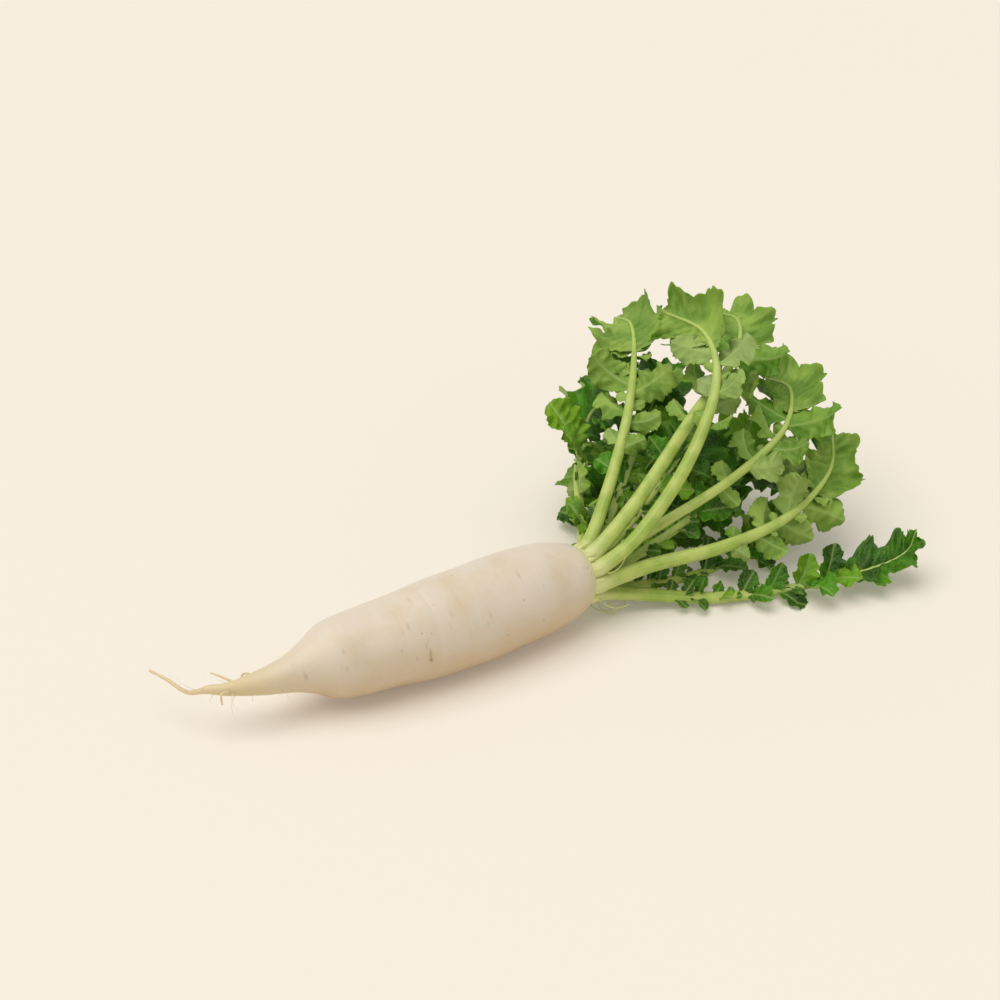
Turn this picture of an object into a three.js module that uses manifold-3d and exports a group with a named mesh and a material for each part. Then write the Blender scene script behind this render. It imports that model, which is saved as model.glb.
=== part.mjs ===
// A freshly pulled daikon radish lying on its side: one long white taproot and its head of leaves.
// Millimetres, +Z up. The table is the plane z = 0. The root runs along X with its crown towards +X,
// and the origin is the middle of the small flat that the root lies on.
import * as THREE from 'three';
import { mergeVertices } from 'three/addons/utils/BufferGeometryUtils.js';
import Module from 'manifold-3d';

const wasm = await Module();
wasm.setup();

// Driving dimensions of the root.
const BELLY_RADIUS = 37.8;
const AXIS_HEIGHT = 37.0; // a little under the belly radius, so that the belly is pressed flat
const CROWN_X = 100;
const TAIL_X = -211;
const CROWN_Y = 4;
const CROWN_RADIUS = 20.5;
const CROWN_DEPTH = 6; // how far a stalk is first drawn into the crown, before it is cut off there
const ROOT_SIDES = 20;
const ROOT_STEPS = 28;
const ROOT_STEP_CROWDING = 1.35; // above 1 the steps crowd together at the blunt crown end
const ROOTLET_RADIUS = 1.2;
const ROOTLET_SIDES = 4;
const ROOTLET_STEPS = 6;
const ROOTLET_FOOT = { y: 8, z: 35.5 }; // inside the tail

// Driving dimensions that all leaves share.
const CLEARANCE = 0.3;
const BLADE_THICKNESS = 0.9;
const BLADE_COLUMNS = [-1, -0.5, 0, 0.5, 1]; // from one edge to the other
const OUTER_RING = 17.4; // the stalks stand on two rings in the crown, of these radii
const INNER_RING = 8;
const STALK_START = 10; // a stalk's first stretch in front of the crown,
const STALK_SPREAD = 1.1; // over which it spreads by this factor
const PETIOLE_SIDES = 5;
const PETIOLE_STEPS = 9;
const PETIOLE_FLATNESS = 0.78; // a leaf stalk is wider than it is thick
const RIB_AT_BLADE = 0.82; // width of the rib where the blade begins, as a share of the stalk
const RIB_TAPER = 0.8; // below 1 the rib keeps its width longer before it narrows
const RIB_TIP = 0.8;
const TERMINAL_START = 0.6; // where the large end leaflet begins, as a share of the blade
const TERMINAL_LEAN = [70, 30]; // degrees at the start and at the tip of the end leaflet
const TERMINAL_OVAL = { start: 0.12, lead: 0.7, fullness: 0.75 }; // shape of the end leaflet's outline
const TERMINAL_SHARES = [0, 0.16, 0.36, 0.58, 0.8, 1];
const TERMINAL_TEETH = [0.5, 1, 0.82, 1.06, 0.88, 1];
const TIP_ROUNDING = 0.85; // how near the end leaflet's edge comes to a square end
const LEAST_REACH = 0.6; // the end leaflet is nowhere slimmer than this share of the rib
const FIRST_LEAFLET = 0.5; // length of the first pair of leaflets, as a share of the last pair's
const LEAFLET_COLUMNS = [-1, 0, 1];
const LEAFLET_SHARES = [0, 0.24, 0.48, 0.76, 1]; // where a leaflet's cross-sections stand along it
const LEAFLET_OUTLINE = [0.13, 0.9, 0.76, 1, 0.2]; // and its half width there, with a coarse tooth
const LEAFLET_WIDTH = 0.42; // greatest half width of a leaflet, as a share of its length
const LEAFLET_LEAN = 56; // degrees between the rib and a leaflet
const LEAFLET_CUP = 20; // degrees by which the two halves of a leaflet rise
const LEAFLET_OFFSET = 1.2; // its vein begins this far out from the middle of the rib
const FIRST_STEP = 0.35; // how far into its stretch of the rib a pair of leaflets stands
const ALTERNATION = 0.3; // and how much further those of one side do
// How much one leaflet may differ from the next: degrees of lift, of roll about its vein and of lean, and
// shares of its curl and of its length. endLift is the lift of the end leaflet's two halves.
const LOOSE = { lift: 30, endLift: 15, roll: 34, lean: 12, curl: 0.6, length: 0.14 };

const ROOT_WHITE = 0xe9dfca;
const LEAF_GREEN = 0x4c8a2e;

// The space below the table, wider than the plant.
const TABLE_LOW = [-400, -400, -100];
const TABLE_HIGH = [600, 600, 0];

const X = new THREE.Vector3(1, 0, 0);

// Joins triangles, keeping only merged positions, into one solid.
function solidOf(geometry) {
  geometry.deleteAttribute('normal');
  geometry.deleteAttribute('uv');
  const merged = mergeVertices(geometry, 1e-4);
  const mesh = new wasm.Mesh({
    numProp: 3,
    vertProperties: new Float32Array(merged.attributes.position.array),
    triVerts: new Uint32Array(merged.index.array),
  });
  return new wasm.Manifold(mesh);
}

function geometryOf(solid) {
  const mesh = solid.getMesh();
  const geometry = new THREE.BufferGeometry();
  geometry.setAttribute('position', new THREE.BufferAttribute(mesh.vertProperties, 3));
  geometry.setIndex(new THREE.BufferAttribute(mesh.triVerts, 1));
  return geometry;
}

function boxSolid(low, high) {
  const bounds = new THREE.Box3(new THREE.Vector3(...low), new THREE.Vector3(...high));
  const size = bounds.getSize(new THREE.Vector3());
  const centre = bounds.getCenter(new THREE.Vector3());
  return solidOf(new THREE.BoxGeometry(size.x, size.y, size.z).translate(centre.x, centre.y, centre.z));
}

function aboveTable(solid) {
  return solid.subtract(boxSolid(TABLE_LOW, TABLE_HIGH));
}

// A closed skin over rings of points, each ring running the same way round, with a fan at each end.
// mirrored(i) says that the quads beside point i of a ring are split along their other diagonal.
function loft(rings, mirrored = () => false) {
  const count = rings[0].length;
  const positions = [];
  const faces = [];
  for (const ring of rings) {
    for (const p of ring) positions.push(p.x, p.y, p.z);
  }
  for (let j = 0; j + 1 < rings.length; j++) {
    for (let i = 0; i < count; i++) {
      const a = j * count + i;
      const b = j * count + ((i + 1) % count);
      const c = a + count;
      const d = b + count;
      if (mirrored(i)) faces.push(a, b, c, b, d, c);
      else faces.push(a, b, d, a, d, c);
    }
  }
  const close = (ring, first, outwards) => {
    const centre = ring.reduce((sum, p) => sum.add(p), new THREE.Vector3());
    centre.divideScalar(count);
    const apex = positions.length / 3;
    positions.push(centre.x, centre.y, centre.z);
    for (let i = 0; i < count; i++) {
      const a = first + i;
      const b = first + ((i + 1) % count);
      if (outwards) faces.push(apex, a, b);
      else faces.push(apex, b, a);
    }
  };
  close(rings[0], 0, false);
  close(rings[rings.length - 1], (rings.length - 1) * count, true);
  const geometry = new THREE.BufferGeometry();
  geometry.setAttribute('position', new THREE.Float32BufferAttribute(positions, 3));
  geometry.setIndex(faces);
  const solid = solidOf(geometry);
  if (solid.volume() > 0) return solid;
  const inward = [];
  for (let i = 0; i < faces.length; i += 3) inward.push(faces[i], faces[i + 2], faces[i + 1]);
  geometry.setIndex(inward);
  return solidOf(geometry);
}

function smoothLine(points) {
  const curve = new THREE.CatmullRomCurve3(points, false, 'catmullrom', 0.5);
  curve.arcLengthDivisions = 400;
  return curve;
}

// A repeatable number from -1 to 1 for a leaf's seed, a row and a side.
function chance(seed, row, side) {
  const wave = Math.sin(seed * 12.9898 + row * 78.233 + side * 37.719) * 43758.5453;
  return 2 * (wave - Math.floor(wave)) - 1;
}

// ROOT. The centreline runs from the crown to the tail, and the radius is given along it.
const ROOT_LINE = [
  [CROWN_X, CROWN_Y, AXIS_HEIGHT],
  [60, 4, AXIS_HEIGHT],
  [10, 2, AXIS_HEIGHT],
  [-40, 0, AXIS_HEIGHT],
  [-85, 2, 36.5],
  [-130, 5, 36],
  [-170, 6, 35.5],
  [-198, 12, 35],
  [TAIL_X, 20, 34.5],
  [-222, 33, 28.5],
  [-229, 52, 30.5],
  [-236, 68, 32],
];
// Radius of the root at an x of its centreline: a blunt shoulder, a long belly and a sudden taper.
const ROOT_RADII = [
  [CROWN_X, CROWN_RADIUS],
  [96, 24.3],
  [89, 28.4],
  [78, 32.0],
  [62, 35.0],
  [38, 37.0],
  [0, BELLY_RADIUS],
  [-38, 36.6],
  [-74, 34.0],
  [-108, 30.8],
  [-124, 28.0],
  [-138, 20.6],
  [-154, 14.2],
  [-172, 10.2],
  [-190, 6.6],
  [-204, 4.2],
  [TAIL_X, 3.4],
  [-216, 2.2],
  [-230, 1.3],
  [-241, 0.8],
];
// Side rootlets near the tail: where they leave the root, which way round, their reach and their droop.
const ROOTLETS = [
  { x: -188, turn: 20, reach: 22, back: 14, droop: 12 },
  { x: -174, turn: 60, reach: 20, back: 8, droop: 24 },
  { x: -200, turn: 150, reach: 16, back: 10, droop: 14 },
];

function radiusAt(x) {
  let k = 0;
  while (k + 2 < ROOT_RADII.length && x < ROOT_RADII[k + 1][0]) k++;
  const [x1, r1] = ROOT_RADII[k];
  const [x2, r2] = ROOT_RADII[k + 1];
  const before = ROOT_RADII[Math.max(k - 1, 0)];
  const after = ROOT_RADII[Math.min(k + 2, ROOT_RADII.length - 1)];
  const share = THREE.MathUtils.clamp((x - x1) / (x2 - x1), 0, 1);
  const slope1 = ((r2 - before[1]) / (x2 - before[0])) * (x2 - x1);
  const slope2 = ((after[1] - r1) / (after[0] - x1)) * (x2 - x1);
  const s2 = share * share;
  const s3 = s2 * share;
  return (2 * s3 - 3 * s2 + 1) * r1 + (s3 - 2 * s2 + share) * slope1
    + (3 * s2 - 2 * s3) * r2 + (s3 - s2) * slope2;
}

// A ring round a point of a centreline, across its direction.
function ringRound(centre, along, radius, sides) {
  const side = new THREE.Vector3(0, 0, 1).cross(along).normalize();
  const up = along.clone().cross(side);
  return Array.from({ length: sides }, (_, i) => {
    const angle = (2 * Math.PI * i) / sides;
    return centre.clone()
      .addScaledVector(side, radius * Math.cos(angle))
      .addScaledVector(up, radius * Math.sin(angle));
  });
}

function rootBody() {
  const line = smoothLine(ROOT_LINE.map((p) => new THREE.Vector3(...p)));
  const rings = [];
  for (let j = 0; j <= ROOT_STEPS; j++) {
    const share = (j / ROOT_STEPS) ** ROOT_STEP_CROWDING;
    const centre = line.getPointAt(share);
    rings.push(ringRound(centre, line.getTangentAt(share), radiusAt(centre.x), ROOT_SIDES));
  }
  return loft(rings);
}

// A rootlet starts inside the root, leans back towards the tail and droops at its end.
function rootlet({ x, turn, reach, back, droop }) {
  const angle = THREE.MathUtils.degToRad(turn);
  const out = new THREE.Vector3(0, Math.cos(angle), Math.sin(angle));
  const foot = new THREE.Vector3(x, ROOTLET_FOOT.y, ROOTLET_FOOT.z);
  const end = foot.clone().addScaledVector(out, reach).add(new THREE.Vector3(-reach / 2, back, -droop));
  const middle = foot.clone().lerp(end, 0.5).add(new THREE.Vector3(-reach / 5, 0, droop / 3));
  const line = smoothLine([foot, middle, end]);
  const rings = [];
  for (let j = 0; j <= ROOTLET_STEPS; j++) {
    const share = j / ROOTLET_STEPS;
    const radius = ROOTLET_RADIUS * (1 - share / 2);
    rings.push(ringRound(line.getPointAt(share), line.getTangentAt(share), radius, ROOTLET_SIDES));
  }
  return loft(rings);
}

function makeRoot() {
  let root = rootBody();
  for (const side of ROOTLETS) root = root.add(rootlet(side));
  return aboveTable(root);
}

// LEAVES. Each stalk leaves the crown on one of two rings, turn degrees round from +Y towards +Z.
// route is the way its rib takes, face is roughly where its upper side looks, and bare is the share of
// its length with no blade. width is the reach of the end leaflet to each side, and leaflet the length of
// the last pair of side leaflets. fold lifts the two halves of the leaf, curl rolls its edges down, in
// degrees per 10 mm, and twist turns it about its rib towards the tip.
const LEAVES = [
  {
    name: 'leaf_front_low', ring: OUTER_RING, turn: 219, stalk: 6.4, seed: 2,
    route: [[146, -17, 14], [199, -41, 6], [262, -64, 7], [318, -80, 12], [352, -88, 22], [366, -84, 38]],
    face: [0, -0.45, 0.9], bare: 0.34, width: 30, leaflet: 34, pairs: 5, fold: 34, curl: 10, twist: -10,
  },
  {
    name: 'leaf_front', ring: OUTER_RING, turn: 179, stalk: 6.4, seed: 2,
    route: [[152, -18, 40], [211, -32, 45], [273, -34, 54], [326, -19, 72], [350, 8, 94]],
    face: [0.3, 0.6, -0.7], bare: 0.4, width: 34, leaflet: 42, pairs: 4, fold: 18, curl: 14, twist: 15,
  },
  {
    name: 'leaf_crest', ring: OUTER_RING, turn: 139, stalk: 6.2, seed: 3,
    route: [[146, -8, 66], [196, 2, 108], [244, 32, 150], [264, 74, 174], [250, 116, 182]],
    face: [0.6, 0.3, -0.7], bare: 0.5, width: 40, leaflet: 42, pairs: 3, fold: 14, curl: 14, twist: -10,
  },
  {
    name: 'leaf_top_front', ring: OUTER_RING, turn: 99, stalk: 6.2, seed: 1,
    route: [[160, 13, 84], [232, 45, 119], [298, 78, 141], [334, 118, 150], [342, 158, 142]],
    face: [0.2, 0.5, -0.8], bare: 0.42, width: 40, leaflet: 45, pairs: 4, fold: 14, curl: 14, twist: 15,
  },
  {
    name: 'leaf_top_back', ring: OUTER_RING, turn: 59, stalk: 5.8, seed: 5,
    route: [[148, 42, 76], [196, 84, 112], [236, 132, 136], [262, 174, 144], [268, 206, 136]],
    face: [0.3, 0.3, -0.85], bare: 0.34, width: 42, leaflet: 50, pairs: 4, fold: 16, curl: 14, twist: -15,
  },
  {
    name: 'leaf_back', ring: OUTER_RING, turn: 19, stalk: 5.4, seed: 6,
    route: [[130, 49, 48], [158, 98, 66], [196, 142, 82], [240, 172, 86]],
    face: [0.5, -0.6, 0.6], bare: 0.22, width: 36, leaflet: 45, pairs: 4, fold: 14, curl: 14, twist: 0,
  },
  {
    name: 'leaf_ground_back', ring: OUTER_RING, turn: 339, stalk: 5.4, seed: 7,
    route: [[134, 40, 16], [166, 88, 5.5], [208, 134, 9], [258, 162, 24]],
    face: [0, -0.3, 0.95], bare: 0.28, width: 34, leaflet: 40, pairs: 4, fold: 34, curl: 10, twist: 10,
  },
  {
    name: 'leaf_ground_far', ring: OUTER_RING, turn: 299, stalk: 5.4, seed: 1,
    route: [[148, 20, 10], [200, 46, 5.5], [262, 72, 12], [318, 98, 30]],
    face: [0, -0.3, 0.9], bare: 0.34, width: 34, leaflet: 40, pairs: 3, fold: 30, curl: 10, twist: 0,
  },
  {
    name: 'leaf_ground_middle', ring: OUTER_RING, turn: 259, stalk: 5.4, seed: 13,
    route: [[155, 0, 10], [212, -4, 5.2], [270, 4, 8], [322, 22, 20]],
    face: [0, -0.4, 0.9], bare: 0.34, width: 32, leaflet: 36, pairs: 3, fold: 30, curl: 10, twist: 0,
  },
  {
    name: 'leaf_middle', ring: INNER_RING, turn: 190, stalk: 4.6, seed: 10,
    route: [[165, 4, 41], [218, 12, 54], [270, 34, 70], [314, 68, 86]],
    face: [0, -0.2, 0.95], bare: 0.34, width: 36, leaflet: 44, pairs: 4, fold: 18, curl: 12, twist: 12,
  },
  {
    name: 'leaf_high', ring: INNER_RING, turn: 118, stalk: 5.0, seed: 1,
    route: [[165, 0, 60], [234, -6, 86], [298, 10, 104], [338, 50, 114], [346, 92, 106]],
    face: [0.2, 0.4, -0.8], bare: 0.4, width: 38, leaflet: 46, pairs: 4, fold: 16, curl: 12, twist: -15,
  },
  {
    name: 'leaf_middle_back', ring: INNER_RING, turn: 46, stalk: 4.4, seed: 24,
    route: [[148, 36, 58], [194, 72, 82], [242, 110, 104], [282, 142, 116]],
    face: [0, -0.5, 0.8], bare: 0.24, width: 38, leaflet: 44, pairs: 4, fold: 14, curl: 12, twist: 0,
  },
  {
    name: 'leaf_inner_back', ring: INNER_RING, turn: 334, stalk: 4.2, seed: 13,
    route: [[146, 33, 33], [186, 68, 37], [230, 102, 44], [278, 128, 54]],
    face: [0, -0.4, 0.9], bare: 0.32, width: 32, leaflet: 38, pairs: 3, fold: 16, curl: 10, twist: 0,
  },
  {
    name: 'leaf_ground_inner', ring: INNER_RING, turn: 262, stalk: 4.2, seed: 14,
    route: [[150, 12, 25], [200, 28, 27], [254, 50, 34], [304, 76, 48]],
    face: [0, -0.3, 1], bare: 0.3, width: 32, leaflet: 38, pairs: 3, fold: 18, curl: 10, twist: 0,
  },
  {
    name: 'leaf_heart', ring: 0, turn: 0, stalk: 3.6, seed: 21,
    route: [[136, 14, 46], [170, 24, 64], [214, 40, 86], [262, 60, 104]],
    face: [0, -0.4, 0.9], bare: 0.34, width: 32, leaflet: 36, pairs: 3, fold: 14, curl: 10, twist: 0,
  },
];

// The line of a leaf's stalk and rib, from inside the crown to the leaf's tip.
function ribLine({ ring, turn, route }) {
  const angle = THREE.MathUtils.degToRad(turn);
  const foot = new THREE.Vector3(CROWN_X, CROWN_Y, AXIS_HEIGHT);
  const out = new THREE.Vector3(0, Math.cos(angle), Math.sin(angle));
  const start = foot.clone().addScaledVector(out, ring).addScaledVector(X, -CROWN_DEPTH);
  const next = foot.clone().addScaledVector(out, ring * STALK_SPREAD).addScaledVector(X, STALK_START);
  return smoothLine([start, next, ...route.map((p) => new THREE.Vector3(...p))]);
}

// The place and the three directions of the rib at a share of its length.
function ribFrame(leaf, line, share) {
  const place = line.getPointAt(share);
  const along = line.getTangentAt(share);
  const up = new THREE.Vector3(...leaf.face).projectOnPlane(along).normalize();
  up.applyAxisAngle(along, THREE.MathUtils.degToRad(leaf.twist * share * share));
  const side = along.clone().cross(up);
  return { place, along, side, up };
}

// Half the width of the stalk and rib: it narrows slowly up to the blade and then to a fine tip.
function ribRadius(leaf, share) {
  if (share < leaf.bare) return leaf.stalk * (1 - ((1 - RIB_AT_BLADE) * share) / leaf.bare);
  const blade = (share - leaf.bare) / (1 - leaf.bare);
  return RIB_AT_BLADE * leaf.stalk * (1 - blade) ** RIB_TAPER + RIB_TIP * blade;
}

function stalkAndRib(leaf, line) {
  const rings = [];
  for (let j = 0; j <= PETIOLE_STEPS; j++) {
    const share = j / PETIOLE_STEPS;
    const { place, side, up } = ribFrame(leaf, line, share);
    const radius = ribRadius(leaf, share);
    rings.push(Array.from({ length: PETIOLE_SIDES }, (_, i) => {
      const angle = (2 * Math.PI * i) / PETIOLE_SIDES;
      return place.clone()
        .addScaledVector(side, radius * Math.cos(angle))
        .addScaledVector(up, radius * PETIOLE_FLATNESS * Math.sin(angle));
    }));
  }
  return loft(rings);
}

// A line across a leaf surface, as its upper and its lower edge: column by column the places, and the
// directions in which the upper face looks there.
function thinRing(places, normals) {
  const shifted = (height) => places.map((place, i) => place.clone().addScaledVector(normals[i], height));
  return [...shifted(BLADE_THICKNESS / 2), ...shifted(-BLADE_THICKNESS / 2).reverse()];
}

// The rings make one thin skin whose lower faces are split into triangles as its upper ones are.
function thinSkin(rings) {
  return loft(rings, (i) => i >= rings[0].length / 2);
}

// A direction turned by an angle from the first towards the second, which is square to it.
function turned(first, second, angle) {
  return first.clone().multiplyScalar(Math.cos(angle)).addScaledVector(second, Math.sin(angle));
}

// The angle that an arc turns by over a length, and how far it gets along its first direction and off it.
function arc(bend, length) {
  const angle = bend * length;
  return { angle, level: Math.sin(angle) / bend, rise: (1 - Math.cos(angle)) / bend };
}

// A rule line runs from the rib to the edge of the end leaflet: where it leaves the rib as a share of the
// blade, its reach, and how many degrees it stands off the rib. Together they make a toothed oval. Near the
// tip a line stays within the length left to it.
function terminalRules(leaf, length) {
  const terminal = length * (1 - leaf.bare) * (1 - TERMINAL_START);
  return TERMINAL_SHARES.map((share, i) => {
    const lean = THREE.MathUtils.lerp(...TERMINAL_LEAN, share);
    const phase = THREE.MathUtils.lerp(TERMINAL_OVAL.start, 1, share) ** TERMINAL_OVAL.lead;
    const oval = Math.max(Math.sin(Math.PI * phase), 0) ** TERMINAL_OVAL.fullness;
    const room = (TIP_ROUNDING * terminal * (1 - share)) / Math.cos(THREE.MathUtils.degToRad(lean));
    return {
      at: TERMINAL_START + (1 - TERMINAL_START) * share,
      reach: Math.min(leaf.width * TERMINAL_TEETH[i] * oval, room),
      lean,
    };
  });
}

function terminalRing(leaf, line, rule) {
  const share = leaf.bare + (1 - leaf.bare) * rule.at;
  const { place, along, side, up } = ribFrame(leaf, line, share);
  const reach = Math.max(rule.reach, ribRadius(leaf, share) * LEAST_REACH);
  const lean = THREE.MathUtils.degToRad(rule.lean);
  const places = [];
  const normals = [];
  for (const across of BLADE_COLUMNS) {
    const hand = Math.sign(across);
    const random = chance(leaf.seed, leaf.pairs, hand);
    const lift = THREE.MathUtils.degToRad(leaf.fold + LOOSE.endLift * random);
    const bend = THREE.MathUtils.degToRad(-leaf.curl / 10) * (1 + LOOSE.curl * random);
    const out = turned(along, side, hand * lean);
    const first = turned(out, up, lift);
    const second = turned(up, out, -lift);
    const { angle, level, rise } = arc(bend, Math.abs(across) * reach);
    places.push(place.clone().addScaledVector(first, level).addScaledVector(second, rise));
    normals.push(hand === 0 ? up : turned(second, first, -angle));
  }
  return thinRing(places, normals);
}

// A side leaflet is a cupped, toothed oval on a vein that leaves the rib and bends in an arc. It is lifted
// out of the leaf's plane and rolled about its vein by amounts of its own.
function leaflet(leaf, line, pair, hand) {
  const random = (row) => chance(leaf.seed, pair + 10 * row, hand);
  const step = pair + FIRST_STEP + (hand > 0 ? ALTERNATION : 0);
  const share = leaf.bare + ((1 - leaf.bare) * TERMINAL_START * step) / leaf.pairs;
  const rib = ribFrame(leaf, line, share);
  const growth = THREE.MathUtils.lerp(FIRST_LEAFLET, 1, pair / (leaf.pairs - 1));
  const length = leaf.leaflet * growth * (1 + LOOSE.length * random(4));
  const lift = THREE.MathUtils.degToRad(leaf.fold + LOOSE.lift * random(0));
  const roll = THREE.MathUtils.degToRad(LOOSE.roll * random(1));
  const lean = THREE.MathUtils.degToRad(LEAFLET_LEAN + LOOSE.lean * random(2));
  const bend = THREE.MathUtils.degToRad(-leaf.curl / 10) * (1 + LOOSE.curl * random(3));
  const cup = THREE.MathUtils.degToRad(LEAFLET_CUP);
  const out = turned(rib.along, rib.side, hand * lean);
  const axis = turned(out, rib.up, lift);
  const normal = turned(rib.up, out, -lift).applyAxisAngle(axis, roll);
  const across = normal.clone().cross(axis);
  const rings = LEAFLET_SHARES.map((along, i) => {
    const { angle, level, rise } = arc(bend, along * length);
    const middle = rib.place.clone()
      .addScaledVector(axis, LEAFLET_OFFSET + level)
      .addScaledVector(normal, rise);
    const up = turned(normal, axis, -angle);
    const half = LEAFLET_WIDTH * length * LEAFLET_OUTLINE[i];
    const places = LEAFLET_COLUMNS.map((column) => middle.clone()
      .addScaledVector(across, column * half * Math.cos(cup))
      .addScaledVector(up, Math.abs(column) * half * Math.sin(cup)));
    const normals = LEAFLET_COLUMNS.map((column) => up.clone()
      .multiplyScalar(column === 0 ? 1 : Math.cos(cup))
      .addScaledVector(across, -column * Math.sin(cup)));
    return thinRing(places, normals);
  });
  return thinSkin(rings);
}

function blade(leaf, line) {
  const rings = terminalRules(leaf, line.getLength()).map((rule) => terminalRing(leaf, line, rule));
  let joined = thinSkin(rings);
  for (let pair = 0; pair < leaf.pairs; pair++) {
    for (const hand of [-1, 1]) joined = joined.add(leaflet(leaf, line, pair, hand));
  }
  return joined;
}

function makeLeaf(leaf) {
  const line = ribLine(leaf);
  const crown = boxSolid(
    [0, CROWN_Y - BELLY_RADIUS, 0],
    [CROWN_X + CLEARANCE, CROWN_Y + BELLY_RADIUS, 2 * AXIS_HEIGHT],
  );
  return aboveTable(stalkAndRib(leaf, line).add(blade(leaf, line)).subtract(crown));
}

function mesh(name, solid, color) {
  const material = new THREE.MeshStandardMaterial({ color, roughness: 0.55, metalness: 0 });
  const made = new THREE.Mesh(geometryOf(solid), material);
  made.name = name;
  return made;
}

const daikon = new THREE.Group();
daikon.add(mesh('taproot', makeRoot(), ROOT_WHITE));
for (const leaf of LEAVES) daikon.add(mesh(leaf.name, makeLeaf(leaf), LEAF_GREEN));

export default daikon;
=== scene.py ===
# %% [markdown]
# A daikon radish lies on a pale table: one long white taproot and its head of feathered leaves.
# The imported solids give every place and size. They are coarse, so each one gets a finer piece here that
# follows the same line, the same width and the same bends, and adds what the solids leave out: teeth,
# ruffles, veins, grooves, scars and hairs. Lengths are written in millimetres and turned to metres once.

# %% The frame
from collections import namedtuple

import bpy
import numpy as np
from mathutils import Matrix, Vector


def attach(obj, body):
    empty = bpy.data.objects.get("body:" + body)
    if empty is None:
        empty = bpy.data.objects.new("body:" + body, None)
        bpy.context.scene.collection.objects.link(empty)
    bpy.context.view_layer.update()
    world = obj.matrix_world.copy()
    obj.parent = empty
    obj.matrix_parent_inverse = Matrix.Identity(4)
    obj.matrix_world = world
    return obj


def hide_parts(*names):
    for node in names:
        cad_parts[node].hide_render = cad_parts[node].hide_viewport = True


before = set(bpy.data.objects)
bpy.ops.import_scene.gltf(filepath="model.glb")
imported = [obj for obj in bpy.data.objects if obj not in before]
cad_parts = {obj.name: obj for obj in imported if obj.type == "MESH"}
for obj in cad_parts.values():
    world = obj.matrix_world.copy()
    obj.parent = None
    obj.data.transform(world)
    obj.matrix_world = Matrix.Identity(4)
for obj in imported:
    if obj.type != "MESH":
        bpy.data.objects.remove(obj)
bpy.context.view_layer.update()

MM = 0.001

# %% [markdown]
# Colours are easiest to judge as the hex codes of a picture, but Blender's shaders count light, so every
# code passes through one function. Every shader node is made by one function too, which takes the node's
# values and links together and hands back its output, so that a material reads like its recipe. Living
# skins are best thought of as coats: a base colour, and further colours laid over it, each by its share.

# %% Colours and nodes
SOFT = {"interpolation_type": "SMOOTHSTEP"}
BELOW, ABOVE, MIXED = 6, 7, 2


def linear(code):
    """sRGB hex to linear RGBA: a channel c is c / 12.92 when dark, else ((c + 0.055) / 1.055) ^ 2.4."""
    c = np.array([int(code[i:i + 2], 16) for i in (1, 3, 5)]) / 255
    c = np.where(c <= 0.04045, c / 12.92, ((c + 0.055) / 1.055) ** 2.4)
    return (float(c[0]), float(c[1]), float(c[2]), 1.0)


def add(tree, kind, sockets=(), out=0, **settings):
    """Adds one node and returns its output, by number or name.

    Settings are the node's properties. Sockets are its inputs, each a value or another node's output: the
    first few in order, or a dictionary by name or number."""
    node = tree.nodes.new("ShaderNode" + kind)
    for name, value in settings.items():
        setattr(node, name, value)
    for name, value in sockets.items() if isinstance(sockets, dict) else enumerate(sockets):
        if isinstance(value, bpy.types.NodeSocket):
            tree.links.new(value, node.inputs[name])
        else:
            node.inputs[name].default_value = value
    return node.outputs[out]


def coats(tree, colour, *layers):
    """Lays coats over a colour in order. Each is (share, hex code or link) and shows by its share."""
    for share, coat in layers:
        coat = linear(coat) if isinstance(coat, str) else coat
        colour = add(tree, "Mix", {0: share, BELOW: colour, ABOVE: coat}, MIXED, data_type="RGBA")
    return colour


def features(size):
    """The scale of a pattern on Object coordinates whose features are size millimetres apart."""
    return 1 / (size * MM)


def new_material(name):
    """An empty material, its tree of nodes and the socket that its surface goes to."""
    material = bpy.data.materials.new(name)
    material.use_nodes = True
    tree = material.node_tree
    tree.nodes.clear()
    return material, tree, tree.nodes.new("ShaderNodeOutputMaterial").inputs["Surface"]


print("cream in linear light:", linear("#F6EDDE"))

# %% [markdown]
# The photograph looks down on the root by 30 degrees, with the tail nearer on the left. The camera is set
# by that angle and by the root's belly, 1.5 m away with a 72 mm lens, so that one pixel is 0.75 mm there.
# It aims a little to the right of the belly and above it, which leaves room for the leaves.

# %% Camera
ELEVATION, HEADING = np.radians(30), np.radians(32)
DISTANCE, LENS, SENSOR = 1.5, 72, 36
BELLY = np.array([-0.020, 0, 0.037])
AIM_RIGHT, AIM_ABOVE = 0.0356, 0.0911
right = np.array([np.cos(HEADING), -np.sin(HEADING), 0])
ahead = np.array([np.sin(HEADING), np.cos(HEADING), 0])
view = ahead * np.cos(ELEVATION) - np.array([0, 0, np.sin(ELEVATION)])
above = ahead * np.sin(ELEVATION) + np.array([0, 0, np.cos(ELEVATION)])
target = BELLY + AIM_RIGHT * right + AIM_ABOVE * above
camera_data = bpy.data.cameras.new("camera")
camera_data.lens = LENS
camera_data.sensor_width = SENSOR
camera = bpy.data.objects.new("camera", camera_data)
turn = Matrix((right, above, -view)).transposed().to_4x4()
camera.matrix_world = Matrix.Translation(Vector(target - DISTANCE * view)) @ turn
bpy.context.scene.collection.objects.link(camera)
bpy.context.scene.camera = camera
print("camera at", np.round(camera.matrix_world.translation, 3))

# %% [markdown]
# Root, stalks and ribs all follow smooth lines through a few points. A Bezier curve would need handles as
# well. A Catmull-Rom line passes through its points and needs nothing else, and it is stepped by length
# here, so that a share of 0.5 is half way along.

# %% Lines
LINE_STEPS = 401


def unit(v):
    """Vectors of length one."""
    return v / np.linalg.norm(v, axis=-1, keepdims=True)


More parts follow.
